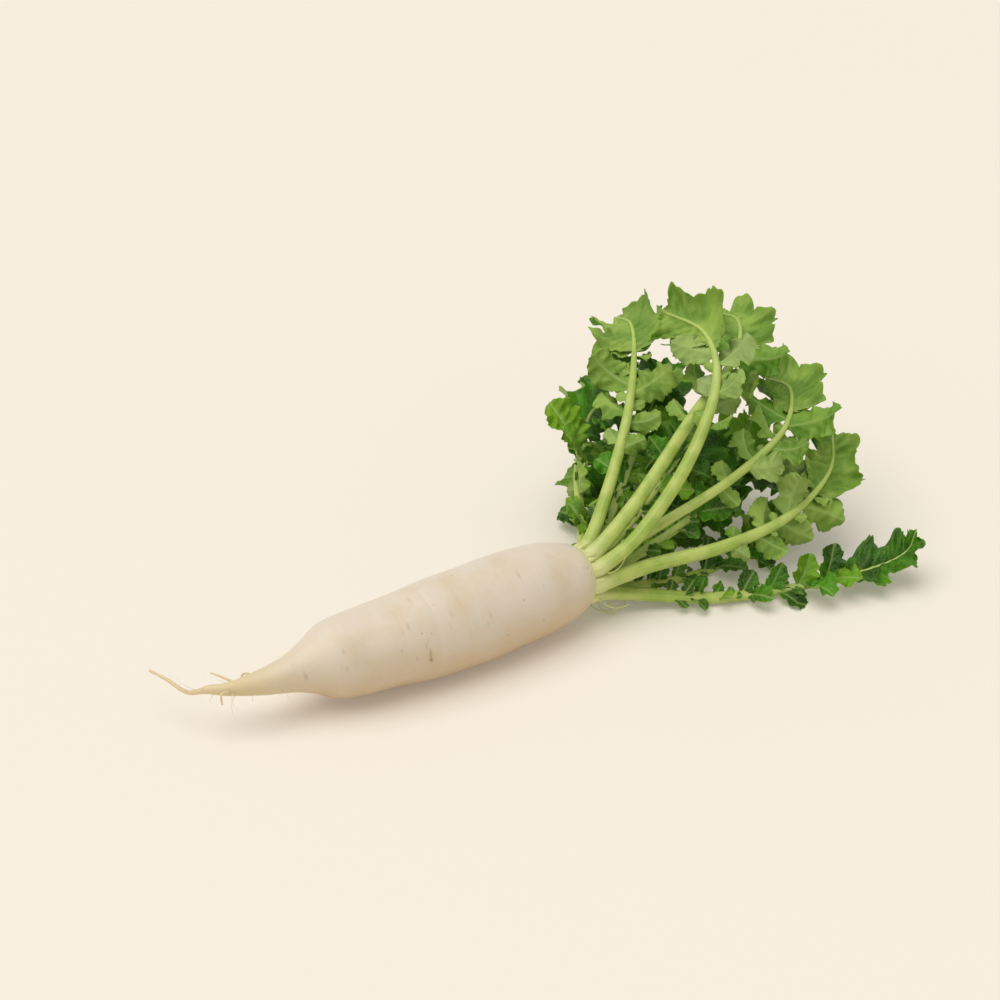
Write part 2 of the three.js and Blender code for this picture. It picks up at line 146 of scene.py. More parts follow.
def cubic_line(points):
    """The smooth line through points, as a function from shares of its length to places and directions.

    Between two points the line is a cubic whose slope at each is half the step between its neighbours.
    Beyond each end a point is added by carrying the last step on."""
    p = np.array(points, float)
    p = np.vstack([2 * p[0] - p[1], p, 2 * p[-1] - p[-2]])
    spans = len(p) - 3

    def at(t):
        k = np.clip(np.floor(t).astype(int), 0, spans - 1)
        w = (t - k)[:, None]
        a, b, c, d = p[k], p[k + 1], p[k + 2], p[k + 3]
        s0, s1 = (c - a) / 2, (d - b) / 2
        c2 = -3 * b + 3 * c - 2 * s0 - s1
        c3 = 2 * b - 2 * c + s0 + s1
        return b + s0 * w + c2 * w ** 2 + c3 * w ** 3, s0 + 2 * c2 * w + 3 * c3 * w ** 2

    steps = np.linspace(0, spans, LINE_STEPS)
    chords = np.linalg.norm(np.diff(at(steps)[0], axis=0), axis=1)
    lengths = np.concatenate([[0], np.cumsum(chords)])

    def line(shares):
        t = np.interp(np.asarray(shares) * lengths[-1], lengths, steps)
        place, slope = at(t)
        return place, unit(slope)

    return line, lengths[-1]


print("a bend through (0, 0), (10, 0) and (10, 10) is", cubic_line([[0, 0], [10, 0], [10, 10]])[1], "long")

# %% [markdown]
# A mesh is gathered from closed skins. Each skin is a grid of rings that run the same way round, with a fan
# of triangles over each end. Which way its faces point depends on how the rings run, so the signed volume
# is worked out, and the faces are turned round where it is negative. Numbers that a material needs, such
# as how near a point is to a vein, are carried along as marks of the points.

# %% Skins
def skin(rings, **marks):
    """A closed skin over rings[j, i], in millimetres, with its marks: one number for each grid point."""
    m, n = rings.shape[:2]
    j, i = np.meshgrid(np.arange(m - 1), np.arange(n), indexing="ij")
    a, b = j * n + i, j * n + (i + 1) % n
    quads = np.stack([a, b, b + n, a + n], -1).reshape(-1, 4)
    i = np.arange(n)
    first = np.stack([np.full(n, m * n), (i + 1) % n, i], -1)
    last = np.stack([np.full(n, m * n + 1), (m - 1) * n + i, (m - 1) * n + (i + 1) % n], -1)
    points = np.vstack([rings.reshape(-1, 3), rings[0].mean(0), rings[-1].mean(0)])
    fans = np.vstack([first, last])
    triangles = np.vstack([quads[:, :3], quads[:, [0, 2, 3]], fans])
    p, q, r = points[triangles].transpose(1, 0, 2)
    if np.einsum("ij,ij->i", p, np.cross(q, r)).sum() < 0:
        quads, fans = quads[:, ::-1], fans[:, ::-1]
    values = {}
    for name, mark in marks.items():
        mark = np.broadcast_to(mark, (m, n))
        values[name] = np.concatenate([mark.ravel(), [mark[0].mean(), mark[-1].mean()]])
    return {"points": points, "quads": quads, "fans": fans, "marks": values}


def tube(line, shares, radius, sides, **marks):
    """A round tube: circles of the given radius across a line, at shares of its length."""
    place, along = line(shares)
    side = unit(np.cross([0, 0, 1], along))
    up = np.cross(along, side)
    angle = np.linspace(0, 2 * np.pi, sides, endpoint=False)[None, :, None]
    ring = side[:, None] * np.cos(angle) + up[:, None] * np.sin(angle)
    return skin(place[:, None] + ring * np.reshape(radius, (-1, 1, 1)), **marks)


straw = tube(cubic_line([[0, 0, 0], [5, 0, 0], [10, 0, 0]])[0], np.linspace(0, 1, 5), 1, 6)
print("a straw of 5 rings and 6 sides has", len(straw["quads"]), "quads and", len(straw["fans"]), "triangles")

# %% [markdown]
# A piece is one object. A plant's skins are joined in one mesh for the root and one for each leaf, because
# each of them grew as one. The arrays go into the mesh whole, and the object stays unturned at the origin,
# since its points already are where the solids say.

# %% Pieces
def make_piece(name, skins, materials, replaced=(), material_of=None):
    """One object from several skins: material_of[k] is the material number of skin k."""
    names = sorted({key for s in skins for key in s["marks"]})
    starts = np.cumsum([0] + [len(s["points"]) for s in skins])
    points = np.vstack([s["points"] for s in skins]) * MM
    quads = np.vstack([s["quads"] + k for s, k in zip(skins, starts)])
    fans = np.vstack([s["fans"] + k for s, k in zip(skins, starts)])
    mesh = bpy.data.meshes.new(name)
    mesh.vertices.add(len(points))
    mesh.vertices.foreach_set("co", points.ravel())
    mesh.loops.add(quads.size + fans.size)
    mesh.loops.foreach_set("vertex_index", np.concatenate([quads.ravel(), fans.ravel()]))
    mesh.polygons.add(len(quads) + len(fans))
    begins = np.concatenate([np.arange(len(quads)) * 4, quads.size + np.arange(len(fans)) * 3])
    mesh.polygons.foreach_set("loop_start", begins)
    numbers = material_of or [0] * len(skins)
    on_quads = [np.full(len(s["quads"]), k) for s, k in zip(skins, numbers)]
    on_fans = [np.full(len(s["fans"]), k) for s, k in zip(skins, numbers)]
    mesh.polygons.foreach_set("material_index", np.concatenate(on_quads + on_fans))
    mesh.polygons.foreach_set("use_smooth", np.ones(len(begins), bool))
    for key in names:
        layer = mesh.attributes.new(key, "FLOAT", "POINT")
        parts = [s["marks"].get(key, np.zeros(len(s["points"]))) for s in skins]
        layer.data.foreach_set("value", np.concatenate(parts))
    mesh.update(calc_edges=True)
    for material in materials:
        mesh.materials.append(material)
    piece = bpy.data.objects.new(name, mesh)
    bpy.context.scene.collection.objects.link(piece)
    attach(piece, "root")
    if replaced:
        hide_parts(*replaced)
    print(name, "has", 2 * len(quads) + len(fans), "triangles")


print("points are multiplied by", MM, "on their way into a mesh")

# %% [markdown]
# Daikon skin is thin and moist. The flesh below scatters light, so shadows on it are soft and warm, which
# takes some subsurface scattering, and a weak coat stands for the film of moisture. Its marks come from
# growth: faint crosswise creases where it swelled, pores where side roots died back, a trace of green where
# the shoulder stood in daylight, and a yellower, speckled tail. Water's IOR of 1.33 and that of plant cell
# walls, about 1.45, give 1.42 for both together.

# %% Root skin material
ROOT_SKIN, ROOT_SHADE, PAINTED_SHADE_BELOW = "#E3D6C3", "#DCCAAC", "#C9AC80"
ROOT_TAIL, ROOT_SHOULDER, ROOT_SCAR = "#DCCA9A", "#DDDBA2", "#8E6636"
CREASE_STEP, CREASE_LENGTH = 1.923, 29.4


def root_skin_material():
    """Living root skin: satin with a thin film of moisture, shallow creases and painted shade below."""
    material, tree, surface = new_material("daikon_skin_washed")
    place = add(tree, "TexCoord", out="Object")
    x = add(tree, "SeparateXYZ", [place], "X")
    z = add(tree, "SeparateXYZ", [place], "Z")
    # Patches of 36 mm where the skin is a little darker and smoother.
    patches = add(tree, "TexNoise", {"Vector": place, "Scale": features(35.71), "Detail": 4})
    # Creases 2 mm apart along the root, each about 3 cm long around it.
    stretch = [features(CREASE_STEP), features(CREASE_LENGTH), features(CREASE_LENGTH)]
    stretched = add(tree, "Mapping", {"Vector": place, "Scale": stretch})
    creases = add(tree, "TexNoise", {"Vector": stretched, "Scale": 1, "Detail": 3})
    # Specks of half a millimetre in cells of 5 mm, which only some patches of 11 mm have.
    cell = add(tree, "TexVoronoi", {"Vector": place, "Scale": features(4.762)})
    chosen = add(tree, "TexNoise", {"Vector": place, "Scale": features(11.11), "Detail": 1})
    dot = add(tree, "MapRange", [cell, 0.22, 0.1], **SOFT)
    specked = add(tree, "MapRange", [chosen, 0.6, 0.68, 0, 0.4], **SOFT)
    colour = coats(
        tree, linear(ROOT_SKIN),
        (add(tree, "MapRange", [patches, 0.4, 0.72], **SOFT), ROOT_SHADE),
        (add(tree, "MapRange", [creases, 0.56, 0.74, 0, 0.22], **SOFT), ROOT_SHADE),
        # Painted shade: from 6 cm above the table down to it, the skin is coated darker and warmer, standing
        # in for the shade on the root's lower side.
        (add(tree, "MapRange", [z, 0.06, 0.004, 0, 0.75], **SOFT), PAINTED_SHADE_BELOW),
        (add(tree, "MapRange", [x, -0.118, -0.215, 0, 0.75], **SOFT), ROOT_TAIL),
        (add(tree, "MapRange", [x, 0.086, 0.101], **SOFT), ROOT_SHOULDER),
        (add(tree, "Math", [dot, specked], operation="MULTIPLY"), ROOT_SCAR),
        (add(tree, "Attribute", out="Fac", attribute_name="scar"), ROOT_SCAR))
    fine = add(tree, "TexNoise", {"Vector": place, "Scale": features(2.381), "Detail": 3})
    bump = add(tree, "Bump", {"Strength": 0.22, "Distance": 0.5 * MM, "Height": creases})
    bump = add(tree, "Bump", {"Strength": 0.12, "Distance": 0.3 * MM, "Height": fine, "Normal": bump})
    rough = add(tree, "MapRange", [patches, 0.35, 0.7, 0.4, 0.52], **SOFT)
    tree.links.new(add(tree, "BsdfPrincipled", {
        "Base Color": colour, "Roughness": rough, "Normal": bump, "IOR": 1.42,
        "Subsurface Weight": 0.35, "Subsurface Radius": (1.0, 0.62, 0.36), "Subsurface Scale": 6 * MM,
        "Coat Weight": 0.12, "Coat Roughness": 0.3}), surface)
    return material


root_skin = root_skin_material()
print("made", root_skin.name)

# %% [markdown]
# The taproot is a profile carried along a line, which is how a lathe would make it. Its radius is given at
# a few places and runs smoothly between them, as on the solid.

# %% Root line and radius
CROWN = np.array([100, 4, 37])
ROOT_LINE = [
    [100, 4, 37], [60, 4, 37], [10, 2, 37], [-40, 0, 37], [-85, 2, 36.5], [-130, 5, 36],
    [-170, 6, 35.5], [-198, 12, 35], [-211, 20, 34.5], [-222, 33, 28.5], [-229, 52, 30.5], [-236, 68, 32],
]
ROOT_RADII = [
    [100, 20.5], [96, 24.3], [89, 28.4], [78, 32], [62, 35], [38, 37], [0, 37.8], [-38, 36.6], [-74, 34],
    [-108, 30.8], [-124, 28], [-138, 20.6], [-154, 14.2], [-172, 10.2], [-190, 6.6], [-204, 4.2],
    [-211, 3.4], [-216, 2.2], [-230, 1.3], [-241, 0.8],
]


def radius_at(x):
    """Radius by x: a cubic between each two given radii, with the slope of the chord across each."""
    xs, rs = np.array(ROOT_RADII)[::-1].T
    before = np.concatenate([xs[:1], xs[:-1]]), np.concatenate([rs[:1], rs[:-1]])
    after = np.concatenate([xs[1:], xs[-1:]]), np.concatenate([rs[1:], rs[-1:]])
    slopes = (after[1] - before[1]) / (after[0] - before[0])
    k = np.clip(np.searchsorted(xs, x) - 1, 0, len(xs) - 2)
    step = xs[k + 1] - xs[k]
    w = np.clip((x - xs[k]) / step, 0, 1)
    return ((2 * w ** 3 - 3 * w ** 2 + 1) * rs[k] + (w ** 3 - 2 * w ** 2 + w) * slopes[k] * step
            + (3 * w ** 2 - 2 * w ** 3) * rs[k + 1] + (w ** 3 - w ** 2) * slopes[k + 1] * step)


root_line, root_length = cubic_line(ROOT_LINE)
belly_radius = radius_at(np.array([0.0]))[0]
print("the root is", 2 * belly_radius, "mm thick, and its line is", round(root_length), "mm long")

# %% [markdown]
# A real root isn't as even as a turned one. Slow swellings of a few tenths of a millimetre and shallow
# crosswise dents take the lathe away. Where a side root has died back it leaves a pore, a short crosswise
# slit, and daikon has these in two rows along opposite sides with a few between them.

# %% Swellings and pores
def slow_waves(u, v, count, seed):
    """A sum of soft waves over two parameters, from -1 to 1 or so, the same each time for a seed.

    Each wave is the sine of 2 pi f u + g v + phase, with f, g and phase drawn by chance."""
    dice = np.random.default_rng(seed)
    total = np.zeros(np.broadcast(u, v).shape)
    for _ in range(count):
        fu, fv, phase = dice.uniform(0.5, 2.5), dice.integers(1, 4), dice.uniform(0, 2 * np.pi)
        total += np.sin(2 * np.pi * fu * u + fv * v + phase)
    return total / np.sqrt(count)


PORES, IN_ROWS, PORE_ROWS = 34, 0.6, (200, 20)
PORE_FROM, PORE_TO = -165, 85
SLIT_X, SLIT_ANGLE, SLIT_WIDE, SLIT_LONG = -57, 7, 0.7, 4.5
PIT_BELOW, PIT_WIDE, PIT_LONG = 5, 1.1, 1.2
PORE_SEED, PORE_STRAY = 8, 14


def arc_from(angle, at_angle, radius):
    """How far round the root a point is from an angle, in millimetres, the short way."""
    return (np.mod(angle - at_angle + np.pi, 2 * np.pi) - np.pi) * radius


def pores(x, angle, radius):
    """How dark and deep each point is. A pore falls off as exp(-(dx / wide)^2 - (arc / long)^2)."""
    dice = np.random.default_rng(PORE_SEED)
    dark = np.zeros(np.broadcast(x, angle).shape)
    for k in range(PORES):
        at_x = dice.uniform(PORE_FROM, PORE_TO)
        row = PORE_ROWS[k % 2] if k < PORES * IN_ROWS else dice.uniform(0, 360)
        at_angle = np.radians(row + dice.normal(0, PORE_STRAY))
        long, wide, depth = dice.uniform(1.2, 3.4), dice.uniform(0.5, 0.9), dice.uniform(0.12, 0.4)
        dark += depth * np.exp(-((x - at_x) / wide) ** 2 - (arc_from(angle, at_angle, radius) / long) ** 2)
    # One long slit on the front of the belly, with a pit at its lower end.
    arc = arc_from(angle, np.radians(SLIT_ANGLE), radius)
    slit = 0.55 * np.exp(-((x - SLIT_X) / SLIT_WIDE) ** 2 - (arc / SLIT_LONG) ** 2)
    pit = 0.9 * np.exp(-((x - SLIT_X) / PIT_WIDE) ** 2 - ((arc + PIT_BELOW) / PIT_LONG) ** 2)
    return dark + (slit + pit)


print("the root has", PORES, "pores, a slit and a pit")

# %% [markdown]
# The rings of the root crowd a little towards the crown, where its shoulder bends most. A low dome closes
# the crown, and the belly is pressed flat where it lies on the table.

# %% Taproot shape
ROOT_RINGS, ROOT_ROUND, DOME_RINGS = 340, 170, 14
RING_CROWDING = 1.15
DOME_HEIGHT, DOME_FULLNESS = 1.8, 0.8
SWELLING, DENT, PORE_DEPTH = 0.4, 0.22, 0.5
SWELLING_WAVES, SWELLING_SEED, DENT_WAVES, DENT_SEED = 7, 3, 5, 5


def taproot_skin():
    """Rings across the root's line from crown to tail, under a dome.

    The radius is that of the profile, plus slow waves, minus dents and pores. The dome's rings go round a
    quarter circle: their radius is cos(lid) ^ fullness, and their height is sin(lid)."""
    shares = np.linspace(0, 1, ROOT_RINGS) ** RING_CROWDING
    place, along = root_line(shares)
    radius = radius_at(place[:, 0])
    lid = np.linspace(np.pi / 2, 0, DOME_RINGS, endpoint=False)
    radius = np.concatenate([radius[0] * np.cos(lid) ** DOME_FULLNESS, radius])[:, None]
    place = np.vstack([place[0] - along[0] * DOME_HEIGHT * np.sin(lid)[:, None], place])
    along = np.vstack([np.repeat(along[:1], DOME_RINGS, 0), along])
    shares = np.concatenate([np.zeros(DOME_RINGS), shares])[:, None]
    side = unit(np.cross([0, 0, 1], along))
    up = np.cross(along, side)
    angle = np.linspace(0, 2 * np.pi, ROOT_ROUND, endpoint=False)[None]
    swell = SWELLING * slow_waves(shares * 3, angle, SWELLING_WAVES, SWELLING_SEED)
    swell = swell * np.minimum(radius / 30, 1)
    swell -= DENT * np.maximum(slow_waves(shares * 26, angle * 0, DENT_WAVES, DENT_SEED) - 0.6, 0)
    dark = pores(place[:, :1], angle, radius)
    r = (radius + swell - PORE_DEPTH * np.minimum(dark, 1))[..., None]
    a = angle[..., None]
    rings = place[:, None] + r * (side[:, None] * np.cos(a) + up[:, None] * np.sin(a))
    rings[..., 2] = np.maximum(rings[..., 2], 0)
    return skin(rings, scar=np.clip(dark, 0, 1))


taproot = taproot_skin()
print("the root's skin has", len(taproot["points"]), "points")

# %% [markdown]
# Side rootlets leave the tail like hairs that were cut short by the washing. The three thick ones are the
# solid's own. The hairs between them are too fine for the solid, and each is a bent tube that thins.

# %% Rootlets
Rootlet = namedtuple("Rootlet", "x turn reach back droop radius")
ROOTLETS = [Rootlet(-188, 20, 22, 14, 12, 1.2), Rootlet(-174, 60, 20, 8, 24, 1.2),
            Rootlet(-200, 150, 16, 10, 14, 1.2)]
ROOTLET_FOOT_Y, ROOTLET_FOOT_Z = 8, 35.5
HAIRS, HAIR_RADIUS, HAIR_SEED = 16, 0.28, 4
ROOTLET_THINNED, HAIR_THINNED = 0.5, 0.75
ROOTLET_RINGS, ROOTLET_SIDES = 14, 6


def rootlet_skin(rootlet, foot, thinned):
    """A tube from foot through a bent middle, thinned by a share of its radius at the end.

    It goes out from the root at its turn, towards the tail by half its reach, and then back and down."""
    turn = np.radians(rootlet.turn)
    out = np.array([0, np.cos(turn), np.sin(turn)])
    end = foot + out * rootlet.reach + np.array([-rootlet.reach / 2, rootlet.back, -rootlet.droop])
    middle = (foot + end) / 2 + np.array([-rootlet.reach / 5, 0, rootlet.droop / 3])
    shares = np.linspace(0, 1, ROOTLET_RINGS)
    radius = rootlet.radius * (1 - shares * thinned)
    return tube(cubic_line([foot, middle, end])[0], shares, radius, ROOTLET_SIDES)


def rootlet_skins():
    """The thick rootlets, and hairs at random places along the tail's own line."""
    skins = [rootlet_skin(thick, np.array([thick.x, ROOTLET_FOOT_Y, ROOTLET_FOOT_Z]), ROOTLET_THINNED)
             for thick in ROOTLETS]
    dice = np.random.default_rng(HAIR_SEED)
    core, _ = root_line(np.linspace(0, 1, 200))
    for _ in range(HAIRS):
        hair = Rootlet(dice.uniform(-236, -150), dice.uniform(0, 360), dice.uniform(9, 20),
                       dice.uniform(-6, 8), dice.uniform(2, 10), HAIR_RADIUS)
        skins.append(rootlet_skin(hair, core[np.argmin(np.abs(core[:, 0] - hair.x))], HAIR_THINNED))
    return skins


make_piece("taproot_skin", [taproot] + rootlet_skins(), [root_skin], ["taproot"])

# %% [markdown]
# A daikon leaf is a thick stalk that runs on as a rib, with leaflets in pairs and a large one at the end.
# Each leaf follows the solid's line. Numbers that differ from leaf to leaf stand in one table: the ring and
# turn of its foot on the crown, half its stalk's width, its route, which way its upper face looks, how much
# of it is bare stalk, the end leaflet's half width, the longest side leaflet, the pairs, and in degrees how
# far the leaflets fold up, curl and twist.

# %% Leaf table
Leaf = namedtuple("Leaf", "ring turn stalk seed route face bare width leaflet pairs fold curl twist")
OUTER, INNER = 17.4, 8
LEAVES = {
    "leaf_front_low": Leaf(
        OUTER, 219, 6.4, 2,
        [[146, -17, 14], [199, -41, 6], [262, -64, 7], [318, -80, 12], [352, -88, 22], [366, -84, 38]],
        (0, -0.45, 0.9), 0.34, 30, 34, 5, 34, 10, -10),
    "leaf_front": Leaf(
        OUTER, 179, 6.4, 2,
        [[152, -18, 40], [211, -32, 45], [273, -34, 54], [326, -19, 72], [350, 8, 94]],
        (0.3, 0.6, -0.7), 0.4, 34, 42, 4, 18, 14, 15),
    "leaf_crest": Leaf(
        OUTER, 139, 6.2, 3,
        [[146, -8, 66], [196, 2, 108], [244, 32, 150], [264, 74, 174], [250, 116, 182]],
        (0.6, 0.3, -0.7), 0.5, 40, 42, 3, 14, 14, -10),
    "leaf_top_front": Leaf(
        OUTER, 99, 6.2, 1,
        [[160, 13, 84], [232, 45, 119], [298, 78, 141], [334, 118, 150], [342, 158, 142]],
        (0.2, 0.5, -0.8), 0.42, 40, 45, 4, 14, 14, 15),
    "leaf_top_back": Leaf(
        OUTER, 59, 5.8, 5,
        [[148, 42, 76], [196, 84, 112], [236, 132, 136], [262, 174, 144], [268, 206, 136]],
        (0.3, 0.3, -0.85), 0.34, 42, 50, 4, 16, 14, -15),
    "leaf_back": Leaf(
        OUTER, 19, 5.4, 6,
        [[130, 49, 48], [158, 98, 66], [196, 142, 82], [240, 172, 86]],
        (0.5, -0.6, 0.6), 0.22, 36, 45, 4, 14, 14, 0),
    "leaf_ground_back": Leaf(
        OUTER, 339, 5.4, 7,
        [[134, 40, 16], [166, 88, 5.5], [208, 134, 9], [258, 162, 24]],
        (0, -0.3, 0.95), 0.28, 34, 40, 4, 34, 10, 10),
    "leaf_ground_far": Leaf(
        OUTER, 299, 5.4, 1,
        [[148, 20, 10], [200, 46, 5.5], [262, 72, 12], [318, 98, 30]],
        (0, -0.3, 0.9), 0.34, 34, 40, 3, 30, 10, 0),
    "leaf_ground_middle": Leaf(
        OUTER, 259, 5.4, 13,
        [[155, 0, 10], [212, -4, 5.2], [270, 4, 8], [322, 22, 20]],
        (0, -0.4, 0.9), 0.34, 32, 36, 3, 30, 10, 0),
    "leaf_middle": Leaf(
        INNER, 190, 4.6, 10,
        [[165, 4, 41], [218, 12, 54], [270, 34, 70], [314, 68, 86]],
        (0, -0.2, 0.95), 0.34, 36, 44, 4, 18, 12, 12),
    "leaf_high": Leaf(
        INNER, 118, 5.0, 1,
        [[165, 0, 60], [234, -6, 86], [298, 10, 104], [338, 50, 114], [346, 92, 106]],
        (0.2, 0.4, -0.8), 0.4, 38, 46, 4, 16, 12, -15),
    "leaf_middle_back": Leaf(
        INNER, 46, 4.4, 24,
        [[148, 36, 58], [194, 72, 82], [242, 110, 104], [282, 142, 116]],
        (0, -0.5, 0.8), 0.24, 38, 44, 4, 14, 12, 0),
    "leaf_inner_back": Leaf(
        INNER, 334, 4.2, 13,
        [[146, 33, 33], [186, 68, 37], [230, 102, 44], [278, 128, 54]],
        (0, -0.4, 0.9), 0.32, 32, 38, 3, 16, 10, 0),
    "leaf_ground_inner": Leaf(
        INNER, 262, 4.2, 14,
        [[150, 12, 25], [200, 28, 27], [254, 50, 34], [304, 76, 48]],
        (0, -0.3, 1), 0.3, 32, 38, 3, 18, 10, 0),
    "leaf_heart": Leaf(
        0, 0, 3.6, 21,
        [[136, 14, 46], [170, 24, 64], [214, 40, 86], [262, 60, 104]],
        (0, -0.4, 0.9), 0.34, 32, 36, 3, 14, 10, 0),
}
print(len(LEAVES), "leaves with", sum(2 * leaf.pairs for leaf in LEAVES.values()), "side leaflets")

# %% [markdown]
# Every part of a leaf is placed from its rib. At each share of the rib there is a frame of three directions:
# along it, out to the side, and up from the upper face. What lies loosely on the real plant is drawn by
# chance, and the chances are the solid's own, so that each leaflet here lies where the solid has it.

# %% Leaf frame
STALK_START, STALK_SPREAD, STALK_SUNK = 10, 1.1, 6
RIB_AT_BLADE, RIB_TIP, RIB_TAPER = 0.82, 0.8, 0.8


def chance(seed, row, side):
    """A repeatable number from -1 to 1 for a leaf, a row and a side: the fraction of a large sine."""
    wave = np.sin(seed * 12.9898 + row * 78.233 + side * 37.719) * 43758.5453
    return 2 * (wave - np.floor(wave)) - 1


def turned(first, second, angle):
    """A direction turned by an angle from the first towards the second, which is square to it."""
    return first * np.cos(angle) + second * np.sin(angle)


def rib_line(leaf):
    """The line of stalk and rib: out of the crown, then through the leaf's route."""
    angle = np.radians(leaf.turn)
    out = np.array([0, np.cos(angle), np.sin(angle)])
    start = CROWN + out * leaf.ring - np.array([STALK_SUNK, 0, 0])
    following = CROWN + out * leaf.ring * STALK_SPREAD + np.array([STALK_START, 0, 0])
    return cubic_line([start, following, *leaf.route])


def rib_frame(leaf, line, shares):
    """Place, along, side and up at shares of the rib. Up is the leaf's face made square to the rib and
    turned about it by the leaf's twist times the share squared."""
    place, along = line(shares)
    face = np.array(leaf.face, float)
    up = unit(face - along * (along @ face)[:, None])
    up = turned(up, np.cross(along, up), np.radians(leaf.twist) * np.asarray(shares)[:, None] ** 2)
    return place, along, np.cross(along, up), up


def rib_radius(leaf, shares):
    """Half the width of stalk and rib: slowly narrower up to the blade, then to a fine tip."""
    blade = np.clip((shares - leaf.bare) / (1 - leaf.bare), 0, 1)
    on_blade = RIB_AT_BLADE * leaf.stalk * (1 - blade) ** RIB_TAPER + RIB_TIP * blade
    on_stalk = leaf.stalk * (1 - (1 - RIB_AT_BLADE) * shares / leaf.bare)
    return np.where(shares < leaf.bare, on_stalk, on_blade)


print("the front leaf is", round(rib_line(LEAVES["leaf_front"])[1]), "mm long")

# %% [markdown]
# Leaf tissue is thin, and its rim grows longer than its middle, so it ruffles. Between the side veins it
# bulges up a little, and the veins lie in furrows. A displacement modifier could raise such a relief from a
# texture, but it wouldn't follow the veins. Here one function gives veins and relief from two lengths: how
# far a point is along the middle vein and how far out from it.

# %% Leaf tissue
TOOTH_SPACING, TOOTH_DEPTH = 4.9, 2.6
VEIN_ANGLE, VEIN_BEND, VEIN_HALF, SIDE_VEIN_HALF = np.radians(48), 90, 0.8, 0.38
BULGE, CRUMPLE, FURROW = 0.8, 0.9, 0.35
CRUMPLE_WAVES, CRUMPLE_SEED = 6, 40


def softened(values, width):
    """Values along a line, each averaged with its neighbours, ends kept."""
    width = max(width // 2 * 2 + 1, 3)
    kernel = np.hanning(width + 2)[1:-1]
    padded = np.pad(values, width // 2, mode="edge")
    return np.convolve(padded, kernel / kernel.sum(), mode="valid")[:len(values)]


def teeth(along_mm, seed):
    """Uneven rounded teeth that lean forward, from 0 to 1: each is a half wave over a stretched phase."""
    phase = along_mm / TOOTH_SPACING + 0.4 * np.sin(along_mm / 5 + seed)
    phase = phase + 0.2 * np.sin(along_mm / 2.1 + 2 * seed)
    lobe = np.sin(np.pi * (1 - np.mod(phase, 1)) ** 0.65) ** 1.1
    return lobe * (0.65 + 0.35 * np.sin(along_mm / 3.3 + 1.3 * seed))


def tissue(along_mm, out_mm, spacing, seed, vein_reach=16):
    """Side veins and the relief between them.

    A side vein leaves the middle one at VEIN_ANGLE and bends forward. The distance to the nearest one is
    that of a fold in along - out / tan(angle), repeated every spacing and made uneven by slow waves."""
    side = np.abs(out_mm)
    fold = along_mm - side / np.tan(VEIN_ANGLE) - side ** 2 / VEIN_BEND + spacing * 0.3 * np.sign(out_mm)
    fold = fold + spacing * (0.1 * np.sin(side / 3.5 + seed) + 0.25 * np.sin(fold / spacing / 1.7 + seed))
    away = np.abs(np.mod(fold / spacing, 1) - 0.5) * spacing * np.sin(VEIN_ANGLE)
    fade = np.exp(-side / vein_reach)
    middle = np.exp(-(side / VEIN_HALF) ** 2)
    vein = np.maximum(middle, 0.45 * fade * np.exp(-(away / SIDE_VEIN_HALF) ** 2))
    bulge = np.minimum(away / spacing * 2, 1) ** 0.7 * np.minimum(side / 4, 1)
    crumple = slow_waves(along_mm / 17, out_mm / 6, CRUMPLE_WAVES, seed + CRUMPLE_SEED)
    crumple = crumple * np.minimum(side / 6, 1)
    return vein, BULGE * bulge + CRUMPLE * crumple - FURROW * vein


print("mean tooth:", round(TOOTH_DEPTH * teeth(np.linspace(0, 200, 2000), 1).mean(), 2), "mm")

# %% [markdown]
# A Solidify modifier could give the blade its thickness. The two faces are made outright instead, because
# each carries a mark that tells the material which one it is, and the blade can be kept off the table.

# %% Blade thickness
BLADE_THICKNESS, BLADE_LOWEST, UNDERSIDE_LOWEST = 0.5, 0.6, 0.2


def shell(surface, normal, **marks):
    """A closed thin shell: the surface raised by half its thickness, and back underneath."""
    surface = surface.copy()
    surface[..., 2] = np.maximum(surface[..., 2], BLADE_LOWEST)
    half = BLADE_THICKNESS / 2
    rings = np.concatenate([surface + normal * half, (surface - normal * half)[:, ::-1]], 1)
    rings[..., 2] = np.maximum(rings[..., 2], UNDERSIDE_LOWEST)
    columns = surface.shape[1]
    doubled = {}
    for name, mark in marks.items():
        mark = np.broadcast_to(mark, surface.shape[:2])
        doubled[name] = np.concatenate([mark, mark[:, ::-1]], 1)
    upper = np.broadcast_to(np.repeat([1.0, 0.0], columns), (len(rings), 2 * columns))
    return skin(rings, upper=upper, **doubled)


print("the blade is", BLADE_THICKNESS, "mm thick")

# %% [markdown]
# A side leaflet is a cupped oval on a vein that leaves the rib and bends in an arc. It is lifted out of the
# leaf's plane and rolled about its vein by the same chances as on the solid, so that it lies where that
# leaflet lies.

# %% Side leaflet's place
LEAFLET_LEAN = 56
LOOSE_LIFT, LOOSE_ROLL, LOOSE_LEAN, LOOSE_CURL, LOOSE_LENGTH = 30, 34, 12, 0.6, 0.14


def leaflet_base(leaf, line, share, length, row, hand):
    """Where a leaflet leaves the rib, its vein's first direction, its normal, bend for a mm and length."""
    luck = [chance(leaf.seed, row + 10 * k, hand) for k in range(5)]
    lift = np.radians(leaf.fold + LOOSE_LIFT * luck[0])
    roll = np.radians(LOOSE_ROLL * luck[1])
    lean = np.radians(LEAFLET_LEAN + LOOSE_LEAN * luck[2])
    bend = np.radians(-leaf.curl / 10) * (1 + LOOSE_CURL * luck[3])
    place, along, side, up = (v[0] for v in rib_frame(leaf, line, np.array([share])))
    out = turned(along, side, hand * lean)
    axis = turned(out, up, lift)
    normal = turned(up, out, -lift)
    normal = turned(normal, np.cross(axis, normal), roll)
    return place, axis, normal, bend, length * (1 + LOOSE_LENGTH * luck[4])


crest = LEAVES["leaf_crest"]
print("a leaflet of the crest starts at", leaflet_base(crest, rib_line(crest)[0], 0.6, 40, 1, 1)[0].round(1))

